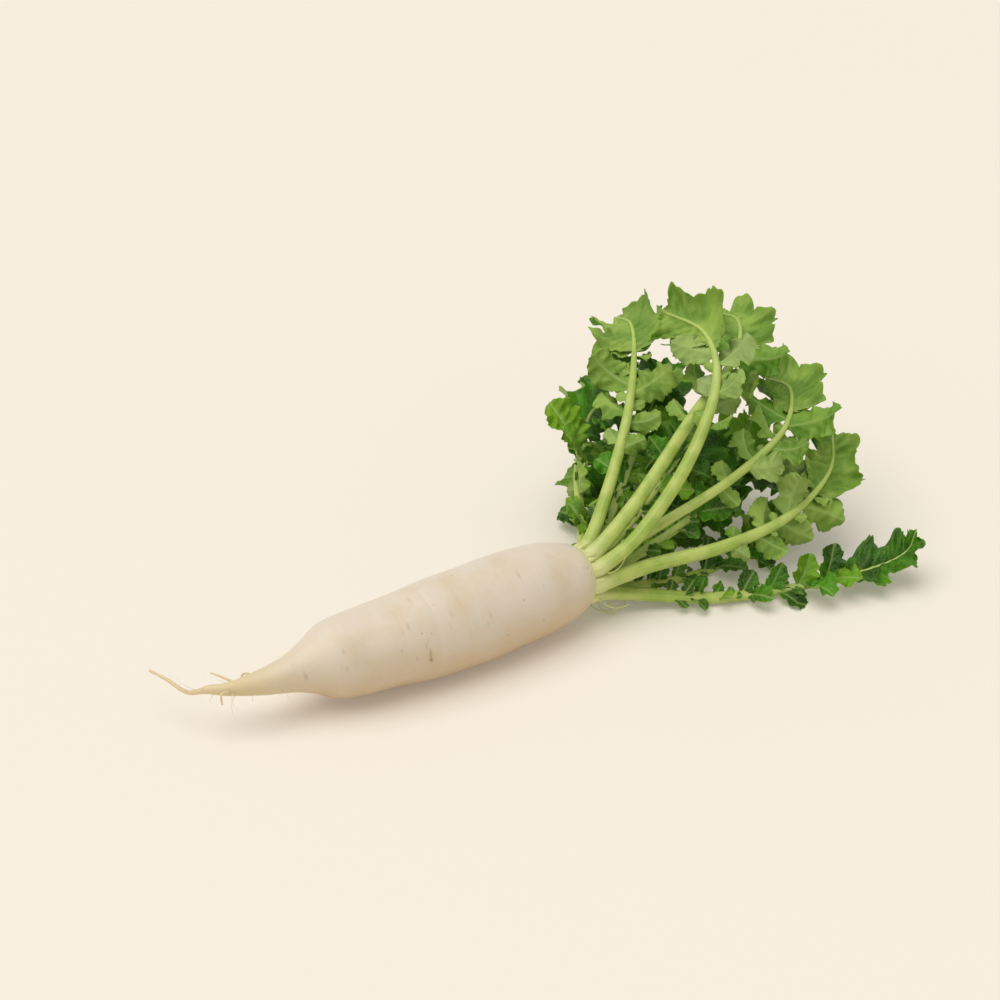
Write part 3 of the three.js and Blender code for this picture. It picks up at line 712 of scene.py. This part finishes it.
# %% [markdown]
# The leaflet's outline has five steps on the solid. Here it gets a round tip, two or three shallow lobes and
# its teeth. Its height over its own plane is a sum too: the cup, ruffles that grow with the square of the
# way to the rim, one rolled rim on each side, and the relief of the tissue.

# %% Side leaflet's form
LEAFLET_SHARES = np.array([0, 0.24, 0.48, 0.76, 1])
LEAFLET_OUTLINE = np.array([0.13, 0.82, 0.8, 1, 0.85])
LEAFLET_WIDTH, LEAFLET_CUP, FULL_LEAFLET = 0.42, np.radians(20), 40
LOBE_DEPTH, LOBES, TIP_REACH = 0.13, 2.3, 0.05
RUFFLE_HEIGHT, LONG_RUFFLE, SHORT_RUFFLE = 3.0, 15, 8.3
ROLLED_RIM = 0.34
TINT_DRAW, LEFT_DRAW, RIGHT_DRAW, WIND_DRAW, END_TINT_DRAW, SWEEP_DRAW, END_ROLL_DRAW = 3, 4, 5, 6, 7, 8, 9


def leaflet_plan(s, c, length, seed):
    """A leaflet spread flat: how far ahead and out its points are, its half width, and how free it is.

    s goes along the vein from 0 to 1 and c across it from -1 to 1. The half width follows the outline and
    closes as (1 - t^2.2)^0.6 over the outer half. Lobes and teeth grow from c = 0.4 to the rim."""
    size, left = length / FULL_LEAFLET, c > 0
    outline = softened(np.interp(s[:, 0], LEAFLET_SHARES, LEAFLET_OUTLINE), len(s) // 6)
    outline = outline * np.maximum(1 - np.clip(2 * s[:, 0] - 1, 0, 1) ** 2.2, 0.004) ** 0.6
    half = LEAFLET_WIDTH * length * outline[:, None]
    to_rim = np.clip((np.abs(c) - 0.4) / 0.6, 0, 1) ** 1.4
    free = np.sin(np.pi * np.clip(s, 0.04, 0.96)) ** 0.6
    tooth = (teeth(s * length * 1.2 / np.sqrt(size), seed + left * 2.3) - 0.45) * to_rim
    lobes = LOBE_DEPTH * np.sin(2 * np.pi * LOBES * s + seed + left * 1.9) * to_rim * free
    out = c * half * (1 + lobes) + np.sign(c) * TOOTH_DEPTH * np.sqrt(size) * tooth * free
    # The teeth near the tip point forwards, so they lengthen the leaflet there.
    ahead_mm = s * length + TIP_REACH * length * tooth * np.clip((s - 0.5) * 2, 0, 1)
    return ahead_mm, out, half, free


def leaflet_height(s, c, out, half, free, relief, length, seed):
    """Height over the leaflet's own plane: cup, ruffles, rolled rims and relief, added up."""
    size, left = length / FULL_LEAFLET, c > 0
    wave = np.sin(2 * np.pi * s * length / LONG_RUFFLE + seed + left * 2.0)
    wave += 0.6 * np.sin(2 * np.pi * s * length / SHORT_RUFFLE + 1.7 * seed + left * 1.2)
    rolls = np.where(left, chance(seed, LEFT_DRAW, 1), chance(seed, RIGHT_DRAW, 1))
    rolled = rolls * ROLLED_RIM * half * np.abs(c) ** 3
    height = np.sin(LEAFLET_CUP) * np.sqrt(out ** 2 + 1) + RUFFLE_HEIGHT * size * free * wave * c ** 2
    return height + rolled * free + relief * size * np.minimum(1, 4 * s)


flat = leaflet_plan(np.linspace(0, 1, 42)[:, None], np.linspace(-1, 1, 21)[None], FULL_LEAFLET, 1)
print("a leaflet of 40 mm is", round(float(np.ptp(flat[1])), 1), "mm wide")

# %% [markdown]
# The flat leaflet is now laid along its vein. Real ones also wind about their vein towards the tip and sweep
# to one side, so both are added, or the rows of leaflets would look like copies of each other.

# %% Side leaflet
LEAFLET_OFFSET, WINDING, SWEEP = 1.2, 28, 0.07


def leaflet_skin(leaf, line, share, length, row, hand, rings, half_columns, tint=None):
    """A side leaflet on a grid of 2 * half_columns + 1 points across and rings along.

    With t = bend times ahead, the vein goes sin(t) / bend along its first direction and
    (1 - cos(t)) / bend along the normal, and the points stand out from it sideways and upwards."""
    place, axis, normal, bend, length = leaflet_base(leaf, line, share, length, row, hand)
    across = np.cross(normal, axis)
    seed = leaf.seed * 13 + row * 5 + hand
    s = np.linspace(0, 1, rings)[:, None]
    c = np.linspace(-1, 1, 2 * half_columns + 1)[None]
    c = np.sign(c) * np.abs(c) ** 0.9
    ahead_mm, x, half, free = leaflet_plan(s, c, length, seed)
    vein, relief = tissue(ahead_mm, x, max(length / 4.8, 2.4), seed)
    height = leaflet_height(s, c, x, half, free, relief, length, seed)
    wind = np.radians(WINDING * chance(seed, WIND_DRAW, 1)) * s
    x, height = (x * np.cos(wind) - height * np.sin(wind), x * np.sin(wind) + height * np.cos(wind))
    x = x + SWEEP * length * chance(seed, SWEEP_DRAW, 1) * np.sin(np.pi * s)
    t = bend * ahead_mm
    up_now = normal * np.cos(t)[..., None] - axis * np.sin(t)[..., None]
    middle = (place + axis * (LEAFLET_OFFSET + np.sin(t) / bend)[..., None]
              + normal * ((1 - np.cos(t)) / bend)[..., None])
    surface = middle + across * (x * np.cos(LEAFLET_CUP))[..., None] + up_now * height[..., None]
    cup = LEAFLET_CUP * np.sign(c) + wind
    looks = up_now * np.cos(cup)[..., None] - across * np.sin(cup)[..., None]
    tint = (chance(seed, TINT_DRAW, 1) + 1) / 2 if tint is None else tint
    return shell(surface, looks, vein=vein, out_mm=c * half, along_mm=ahead_mm, rim=np.abs(c), tint=tint)


sample = leaflet_skin(crest, rib_line(crest)[0], 0.6, FULL_LEAFLET, 1, 1, 42, 10)
print("a side leaflet has", len(sample["points"]), "points")

# %% [markdown]
# On a real leaf the leaflets stand in pairs that are a little out of step, with small ones between the
# pairs and tiny ones down the stalk. The solid has only the pairs. A leaf that arches over shows its stalk
# from below, so it goes without the first small pair and the tiny ones, which would hide the stalk.

# %% Side leaflets
TERMINAL_START = 0.6
FIRST_LEAFLET, FIRST_STEP, ALTERNATION = 0.5, 0.35, 0.3
PAIR_GRID, SMALL_GRID, TINY_GRID = (42, 10), (24, 6), (20, 5)
SMALL_LENGTH, SMALL_SPREAD, SMALL_TINT = 0.42, 0.3, 0.5
SMALL_ROW, SMALL_LENGTH_ROW, TINY_ROW = 20, 30, 50
TINY, TINY_SHARE, TINY_STEP, TINY_LENGTH, TINY_GROWTH = 5, 0.72, 0.06, 0.16, 0.045


def side_leaflets(leaf, line):
    """The pairs of the solid, small ones between the pairs, and tiny ones down the stalks that face up."""
    skins = []
    faces_up = leaf.face[2] > 0
    spread = (1 - leaf.bare) * TERMINAL_START
    for pair in range(leaf.pairs):
        length = leaf.leaflet * (FIRST_LEAFLET + (1 - FIRST_LEAFLET) * pair / (leaf.pairs - 1))
        for hand in (-1, 1):
            share = leaf.bare + spread * (pair + FIRST_STEP + (ALTERNATION if hand > 0 else 0)) / leaf.pairs
            skins.append(leaflet_skin(leaf, line, share, length, pair, hand, *PAIR_GRID))
            if pair == 0 and not faces_up:
                continue
            small = length * SMALL_LENGTH
            small *= 1 + SMALL_SPREAD * chance(leaf.seed, SMALL_LENGTH_ROW + pair, hand)
            share += spread * 0.5 / leaf.pairs
            skins.append(leaflet_skin(leaf, line, share, small, SMALL_ROW + pair, hand, *SMALL_GRID,
                                      SMALL_TINT))
    for k in range(TINY if faces_up else 0):
        share = leaf.bare * (TINY_SHARE + TINY_STEP * k)
        length = leaf.leaflet * (TINY_LENGTH + TINY_GROWTH * k) + leaf.stalk
        skins.append(leaflet_skin(leaf, line, share, length, TINY_ROW + k, (-1, 1)[k % 2], *TINY_GRID))
    return skins


print("the crest has", len(side_leaflets(crest, rib_line(crest)[0])), "side leaflets, large and small")

# %% [markdown]
# The end leaflet is ruled: straight lines lean forward from the rib to the edge, each with its reach and
# lean. The solid has six of them on each side. Here about a hundred take their place, each bent in an arc,
# so that the blade has the solid's outline with lobes, teeth and ruffles of its own.

# %% End leaflet's rules
TERMINAL_SHARES = np.array([0, 0.16, 0.36, 0.58, 0.8, 1])
TERMINAL_TEETH = np.array([0.5, 1, 0.82, 1.06, 0.88, 1])
BASE_LEAN, TIP_LEAN, TIP_ROUNDING = 70, 30, 0.85
OVAL_START, OVAL_LEAD, OVAL_FULLNESS = 0.12, 0.7, 0.75


def end_rules(leaf, length):
    """Where each of the solid's rule lines leaves the rib, its reach and its lean in degrees.

    The reach follows a full half sine wave that starts part of the way up, and keeps to the room that is
    left towards the tip."""
    lean = BASE_LEAN + (TIP_LEAN - BASE_LEAN) * TERMINAL_SHARES
    phase = (OVAL_START + (1 - OVAL_START) * TERMINAL_SHARES) ** OVAL_LEAD
    oval = np.maximum(np.sin(np.pi * phase), 0) ** OVAL_FULLNESS
    terminal = length * (1 - leaf.bare) * (1 - TERMINAL_START)
    room = TIP_ROUNDING * terminal * (1 - TERMINAL_SHARES) / np.cos(np.radians(lean))
    reach = np.minimum(leaf.width * TERMINAL_TEETH * oval, room)
    return TERMINAL_START + (1 - TERMINAL_START) * TERMINAL_SHARES, reach, lean


print("reach of the crest's rules:", end_rules(crest, rib_line(crest)[1])[1].round(1))

# %% [markdown]
# The two halves are worked out one after the other, because each is lifted and bent by its own chance. They
# meet on the rib, and the relief of the tissue is laid over both at once.

# %% End leaflet
END_RINGS, END_HALF = 96, 18
LOOSE_END_LIFT = 15
END_TOOTH, END_LOBE_DEPTH, END_ROLL = 1.5, 0.17, 0.22
END_RUFFLE, END_LONG_RUFFLE, END_SHORT_RUFFLE = 4.2, 19, 9
END_VEIN_SPACING, END_VEIN_REACH = 9, 34


def end_half(leaf, hand, frame_now, lean, wide, along_mm, c):
    """One half of the end leaflet: its points, their normals and how far out they are.

    With t = bend times out, a rule line goes sin(t) / bend along its first direction and
    (1 - cos(t)) / bend upwards. Ruffles and a rolled rim are added along the normal."""
    place, along, side, up = (v[:, None] for v in frame_now)
    lift = np.radians(leaf.fold + LOOSE_END_LIFT * chance(leaf.seed, leaf.pairs, hand))
    bend = np.radians(-leaf.curl / 10) * (1 + LOOSE_CURL * chance(leaf.seed, leaf.pairs, hand))
    to_rim = np.clip((c - 0.55) / 0.45, 0, 1) ** 1.4
    tooth = (teeth(along_mm, leaf.seed + hand) - 0.45) * to_rim * np.minimum(wide / 12, 1)
    lobes = END_LOBE_DEPTH * np.sin(along_mm / 4 + 2 * leaf.seed + hand) * np.clip((c - 0.3) / 0.7, 0, 1)
    out_mm = wide * c * (1 + lobes) + END_TOOTH * TOOTH_DEPTH * tooth
    t = (bend * out_mm)[..., None]
    out = turned(along, side, hand * lean[..., None])
    first = turned(out, up, lift)
    second = turned(up, out, -lift)
    normal = second * np.cos(t) - first * np.sin(t)
    wave = np.sin(2 * np.pi * along_mm / END_LONG_RUFFLE + leaf.seed + hand)
    wave = wave + 0.5 * np.sin(2 * np.pi * along_mm / END_SHORT_RUFFLE + 2.1 * leaf.seed - hand)
    ruffle = END_RUFFLE * wave * np.minimum(wide / 25, 1) * c ** 2
    rolled = END_ROLL * chance(leaf.seed, END_ROLL_DRAW, hand) * wide * c ** 3
    point = place + first * np.sin(t) / bend + second * (1 - np.cos(t)) / bend
    return point + normal * (ruffle + rolled)[..., None], normal, hand * out_mm


def end_leaflet(leaf, line, length):
    """The end leaflet on a grid of (share of the rib, share of the rule line), left half and right half."""
    u = np.linspace(TERMINAL_START, 1, END_RINGS)
    at, reach, lean = end_rules(leaf, length)
    shares = leaf.bare + (1 - leaf.bare) * u
    frame_now = rib_frame(leaf, line, shares)
    place, up = frame_now[0][:, None], frame_now[3][:, None]
    wide = np.maximum(softened(np.interp(u, at, reach), 7), rib_radius(leaf, shares) * 0.6)[:, None]
    lean = np.radians(softened(np.interp(u, at, lean), 9))[:, None]
    along_mm = ((u - TERMINAL_START) * length * (1 - leaf.bare))[:, None]
    c = np.linspace(0, 1, END_HALF + 1)[None, 1:]
    left = [part[:, ::-1] for part in end_half(leaf, -1, frame_now, lean, wide, along_mm, c)]
    right_half = end_half(leaf, 1, frame_now, lean, wide, along_mm, c)
    seam = (place, up, 0 * along_mm)
    surface, look, out_mm = (np.concatenate(parts, 1) for parts in zip(left, seam, right_half))
    # A rule line leans forwards itself, so its own distance from the tip side gives the veins.
    ahead_mm = along_mm + np.abs(out_mm) * np.cos(lean)
    vein, relief = tissue(ahead_mm, out_mm * np.sin(lean), END_VEIN_SPACING, leaf.seed, END_VEIN_REACH)
    rim = np.abs(np.linspace(-1, 1, 2 * END_HALF + 1))[None]
    tint = (chance(leaf.seed, END_TINT_DRAW, 1) + 1) / 2
    return shell(surface + look * relief[..., None], look, vein=vein, out_mm=out_mm, along_mm=ahead_mm,
                 rim=rim, tint=tint)


print("an end leaflet has", END_RINGS, "by", 2 * END_HALF + 1, "points on a face")

# %% [markdown]
# Stalk and rib are one tube. Across, it is wider than thick, with a groove along its upper face and shallow
# ridges round it, the strands that carry water, which catch the light as long thin lines. The foot is
# stouter than the stalk above it, and the rib thins on the end leaflet.

# %% Stalk skin
STALK_RINGS, STALK_ROUND, RIDGES = 120, 22, 11
FLATNESS, GROOVE_DEPTH, GROOVE_WIDTH, RIDGE_HEIGHT = 0.78, 0.2, 0.42, 0.022
FOOT_SWELLING, FOOT_SHARE, RIB_SLIMMING, STALK_LOWEST = 0.16, 0.07, 0.3, 0.15


def stalk_skin(leaf, line):
    """An oval ring across the rib: radius times (1, flatness), dented above and ridged all round."""
    shares = np.linspace(0, 1, STALK_RINGS)
    place, along, side, up = (v[:, None] for v in rib_frame(leaf, line, shares))
    a = np.linspace(0, 2 * np.pi, STALK_ROUND, endpoint=False)[None]
    groove = GROOVE_DEPTH * np.exp(-((a - np.pi / 2) / GROOVE_WIDTH) ** 2)
    ridge = np.cos(RIDGES * a)
    foot = 1 + FOOT_SWELLING * np.exp(-(shares / FOOT_SHARE) ** 2)[:, None]
    on_blade = np.clip((shares - leaf.bare) / (1 - leaf.bare), 0, 1)[:, None]
    slim = 1 - RIB_SLIMMING * np.clip((on_blade - 0.35) / 0.4, 0, 1)
    r = rib_radius(leaf, shares)[:, None] * foot * slim * (1 - groove + RIDGE_HEIGHT * ridge)
    rings = place + side * (r * np.cos(a))[..., None] + up * (r * FLATNESS * np.sin(a))[..., None]
    rings[..., 2] = np.maximum(rings[..., 2], STALK_LOWEST)
    return skin(rings, share=shares[:, None], blade=on_blade, ridge=ridge)


print("a stalk has", STALK_RINGS, "rings of", STALK_ROUND, "points")

# %% [markdown]
# Leaf tissue is full of water. Light that falls on one side shines through to the other in a brighter,
# yellower green, so a share of the shader is translucent. The upper face is deep green with pale veins, the
# lower face is greyer and lighter, and a thin wax gives both a broad, weak gloss. Older leaflets are deeper
# in colour than young ones, which is what the mark called tint is for.

# %% Leaf material
LEAF_DEEP, LEAF_FRESH, LEAF_YOUNG = "#1D4E02", "#509A0C", "#98C924"
LEAF_UNDER, LEAF_UNDER_YOUNG, LEAF_UNDER_GREY = "#7CA53A", "#ADCC5A", "#C4D494"
LEAF_VEIN, LEAF_GLOW = "#B9D07A", "#9AD015"
NET_MESH, THROUGH = 2.5, 0.26


def blade_material():
    """Living leaf tissue: wax-coated cells over a net of veins."""
    material, tree, surface = new_material("radish_leaf_tissue")
    place = add(tree, "TexCoord", out="Object")
    mark = {name: add(tree, "Attribute", out="Fac", attribute_name=name)
            for name in ("vein", "upper", "out_mm", "along_mm", "rim", "tint")}
    # Patches of 3 cm, as the leaf is thicker here and thinner there.
    broad = add(tree, "TexNoise", {"Vector": place, "Scale": features(29.41), "Detail": 3})
    patchy = add(tree, "MapRange", [broad, 0.36, 0.66], **SOFT)
    top = coats(
        tree, linear(LEAF_DEEP), (patchy, LEAF_FRESH),
        (add(tree, "MapRange", [mark["tint"], 0.45, 1.0, 0, 0.75], **SOFT), LEAF_YOUNG))
    under = coats(
        tree, linear(LEAF_UNDER), (patchy, LEAF_UNDER_YOUNG),
        (add(tree, "MapRange", [mark["tint"], 0.35, 0.0, 0, 0.8], **SOFT), LEAF_UNDER_GREY),
        (add(tree, "MapRange", [mark["tint"], 0.75, 1.0, 0, 0.55], **SOFT), LEAF_FRESH))
    # The net of fine veins is drawn in the blade's own millimetres, which the marks carry.
    spread = add(tree, "CombineXYZ", [mark["out_mm"], mark["along_mm"], mark["upper"]])
    edge = add(tree, "TexVoronoi", {"Vector": spread, "Scale": 1 / NET_MESH}, feature="DISTANCE_TO_EDGE")
    net = add(tree, "MapRange", [edge, 0.1, 0.02], **SOFT)
    colour = coats(
        tree, under, (mark["upper"], top),
        (add(tree, "Math", [net, 0.2], operation="MULTIPLY"), LEAF_VEIN),
        (add(tree, "Math", [mark["vein"], 0.65], operation="MULTIPLY"), LEAF_VEIN),
        (add(tree, "MapRange", [mark["rim"], 0.9, 1.0, 0, 0.3], **SOFT), LEAF_YOUNG))
    # The blisters between the finest veins, about 1.4 mm across, with the net sunk between them.
    cells = add(tree, "TexNoise", {"Vector": place, "Scale": features(1.4286), "Detail": 2})
    sunk = add(tree, "Math", [net, -0.9], operation="MULTIPLY")
    height = add(tree, "Math", [cells, sunk], operation="ADD")
    bump = add(tree, "Bump", {"Strength": 0.3, "Distance": 0.3 * MM, "Height": height})
    waxy = add(tree, "BsdfPrincipled", {
        "Base Color": colour, "Roughness": 0.45, "Normal": bump, "IOR": 1.4, "Specular IOR Level": 0.35})
    glow = add(tree, "BsdfTranslucent", {"Color": coats(tree, colour, (0.6, LEAF_GLOW)), "Normal": bump})
    tree.links.new(add(tree, "MixShader", [THROUGH, waxy, glow]), surface)
    return material


leaf_tissue = blade_material()
print("made", leaf_tissue.name)

# %% [markdown]
# A stalk is juicy and pale. Its skin is smooth and wet, so it gets a coat and a lower roughness than the
# blade, and light goes a few millimetres into it, furthest in green. It is whitish at the foot, where
# sheaths kept the daylight off, and greener on its way up.

# %% Stalk material
STALK_PALE, STALK_GREEN, STALK_BASE = "#BBC968", "#97B244", "#D6D892"


def stalk_material():
    """Juicy stalk skin: pale and glassy, lighter along its ridges and greener towards the blade."""
    material, tree, surface = new_material("radish_stalk_skin")
    place = add(tree, "TexCoord", out="Object")
    mark = {name: add(tree, "Attribute", out="Fac", attribute_name=name)
            for name in ("share", "blade", "ridge")}
    # Patches of 17 mm, a few times as long as the stalk is wide.
    patches = add(tree, "TexNoise", {"Vector": place, "Scale": features(16.667), "Detail": 3})
    colour = coats(
        tree, linear(STALK_PALE),
        (add(tree, "MapRange", [patches, 0.35, 0.7], **SOFT), STALK_GREEN),
        (add(tree, "MapRange", [mark["ridge"], -0.2, 0.9, 0, 0.3], **SOFT), STALK_PALE),
        (add(tree, "MapRange", [mark["share"], 0.1, 0.02], **SOFT), STALK_BASE),
        (add(tree, "MapRange", [mark["blade"], 0, 0.4, 0, 0.3], **SOFT), LEAF_VEIN),
        (add(tree, "MapRange", [mark["blade"], 0.4, 1, 0, 0.7], **SOFT), LEAF_UNDER_YOUNG))
    cells = add(tree, "TexNoise", {"Vector": place, "Scale": features(1.4286), "Detail": 2})
    bump = add(tree, "Bump", {"Strength": 0.2, "Distance": 0.3 * MM, "Height": cells})
    tree.links.new(add(tree, "BsdfPrincipled", {
        "Base Color": colour, "Roughness": 0.38, "Normal": bump, "IOR": 1.42,
        "Subsurface Weight": 0.3, "Subsurface Radius": (0.7, 1.0, 0.25), "Subsurface Scale": 3 * MM,
        "Coat Weight": 0.15, "Coat Roughness": 0.25}), surface)
    return material


stalk_flesh = stalk_material()
print("made", stalk_flesh.name)

# %% [markdown]
# Round the foot of the stalks stand the torn sheaths of older leaves, and curly fibres of what has withered.
# A sheath is a short fat tube that narrows and leans out. A fibre is a thin line through points that turn
# as they go. Both hide the seams between the stalks and the crown, as they do on the plant.

# %% Crown
SHEATHS, SHEATH_RINGS, SHEATH_SIDES = 17, 12, 10
FIBRES, FIBRE_RINGS, FIBRE_SIDES, FIBRE_RADIUS, FIBRE_TURNS = 16, 40, 6, 0.5, 9
FIBRE_SHARE, CROWN_SEED = 0.06, 12


def spoke(dice, k, count):
    """The direction of spoke k of a wheel round the crown, a little out of its even step."""
    angle = np.radians(360 * (k + dice.uniform(-0.3, 0.3)) / count)
    return np.array([0, np.cos(angle), np.sin(angle)])


def sheath(dice, k):
    """A tube from inside the crown's rim outwards: its radius is wide * (1 - 0.9 * share squared)."""
    out = spoke(dice, k, SHEATHS)
    foot = CROWN + out * dice.uniform(18.5, 20.5) - np.array([2.5, 0, 0])
    reach = dice.uniform(6, 14)
    tip = foot + np.array([reach, 0, 0]) + out * dice.uniform(0.5, 3)
    middle = (foot + tip) / 2 + out * dice.uniform(0.6, 1.4)
    shares = np.linspace(0, 1, SHEATH_RINGS)
    wide = dice.uniform(1.8, 3.4) * (1 - shares ** 2 * 0.9)
    return tube(cubic_line([foot, middle, tip])[0], shares, wide, SHEATH_SIDES, share=0.0)


def fibre(dice, k):
    """A thin tube that runs outwards and curls: its points go round an oval while they run."""
    out = spoke(dice, k, FIBRES)
    start = CROWN + out * dice.uniform(19, 21) + np.array([dice.uniform(0, 14), 0, 0])
    turns = np.linspace(0, dice.uniform(2.5, 6), FIBRE_TURNS) + dice.uniform(0, 6)
    wide, run = dice.uniform(2.5, 5), dice.uniform(8, 26)
    oval = np.stack([np.cos(turns), np.sin(turns), np.sin(turns + 1)], -1)
    along = np.linspace(0, 1, FIBRE_TURNS)[:, None] * (np.array([run, 0, 0]) + out * dice.uniform(4, 12))
    shares = np.linspace(0, 1, FIBRE_RINGS)
    line, _ = cubic_line(start + along + wide * (oval - oval[0]))
    return tube(line, shares, FIBRE_RADIUS * (1 - 0.6 * shares), FIBRE_SIDES, share=FIBRE_SHARE)


crown_dice = np.random.default_rng(CROWN_SEED)
crown_skins = [sheath(crown_dice, k) for k in range(SHEATHS)] + [fibre(crown_dice, k) for k in range(FIBRES)]
make_piece("crown_sheaths", crown_skins, [stalk_flesh])

# %% [markdown]
# Now each leaf is put together: stalk, end leaflet and side leaflets in one mesh with two materials, in
# place of the solid's leaf.

# %% Leaves
for node, leaf in LEAVES.items():
    line, length = rib_line(leaf)
    skins = [stalk_skin(leaf, line), end_leaflet(leaf, line, length)] + side_leaflets(leaf, line)
    numbers = [1] + [0] * (len(skins) - 1)
    make_piece(node + "_fine", skins, [leaf_tissue, stalk_flesh], [node], numbers)

# %% [markdown]
# The photograph's table and background are one warm pale sheet with no edge, so the floor is a plane that
# reaches past the horizon. The board also glows a little, though it is no lamp: this is painted light, which
# lifts the shadows under the leaves and the root.

# %% Floor
FLOOR_REACH = 50


def floor_material():
    """Matt board that glows weakly, a painted light which thins the shadows as in the photograph."""
    material, tree, surface = new_material("table_board_matt")
    # The weak emission is painted light: the board is no lamp, and its glow lifts the shadows that fall on
    # it.
    tree.links.new(add(tree, "BsdfPrincipled", {
        "Base Color": linear("#E3DBCE"), "Roughness": 0.75,
        "Emission Color": linear("#F4EBDD"), "Emission Strength": 0.15}), surface)
    return material


floor_corners = [(-FLOOR_REACH, -FLOOR_REACH, 0), (FLOOR_REACH, -FLOOR_REACH, 0),
                 (FLOOR_REACH, FLOOR_REACH, 0), (-FLOOR_REACH, FLOOR_REACH, 0)]
floor_mesh = bpy.data.meshes.new("floor")
floor_mesh.from_pydata(floor_corners, [], [(0, 1, 2, 3)])
floor_mesh.materials.append(floor_material())
floor = bpy.data.objects.new("floor", floor_mesh)
bpy.context.scene.collection.objects.link(floor)
print("the floor is", 2 * FLOOR_REACH, "m wide")

# %% [markdown]
# Some of the light comes evenly from all round. The rest comes from one lamp high above, a little to the
# left and to the front. It is 60 degrees wide in the sky, like a large softbox, which gives the broad
# highlight along the root and shadows without an edge.

# %% Light
KEY_LEFT, KEY_FRONT, KEY_WIDTH, KEY_POWER, KEY_COLOUR = 0.3, 0.08, 60, 1.8, "#FFFDF9"
SKY_COLOUR, SKY_POWER = "#FFFEFC", 0.5
key_data = bpy.data.lights.new("key", "SUN")
key_data.energy = KEY_POWER
key_data.angle = np.radians(KEY_WIDTH)
key_data.color = linear(KEY_COLOUR)[:3]
key = bpy.data.objects.new("key", key_data)
towards_key = Vector(-KEY_LEFT * right - KEY_FRONT * ahead) + Vector((0, 0, 1))
key.rotation_euler = towards_key.to_track_quat("Z", "Y").to_euler()
bpy.context.scene.collection.objects.link(key)
world = bpy.data.worlds.new("surroundings")
world.use_nodes = True
world.node_tree.nodes["Background"].inputs["Color"].default_value = linear(SKY_COLOUR)
world.node_tree.nodes["Background"].inputs["Strength"].default_value = SKY_POWER
bpy.context.scene.world = world
bpy.context.scene.view_settings.view_transform = "Standard"
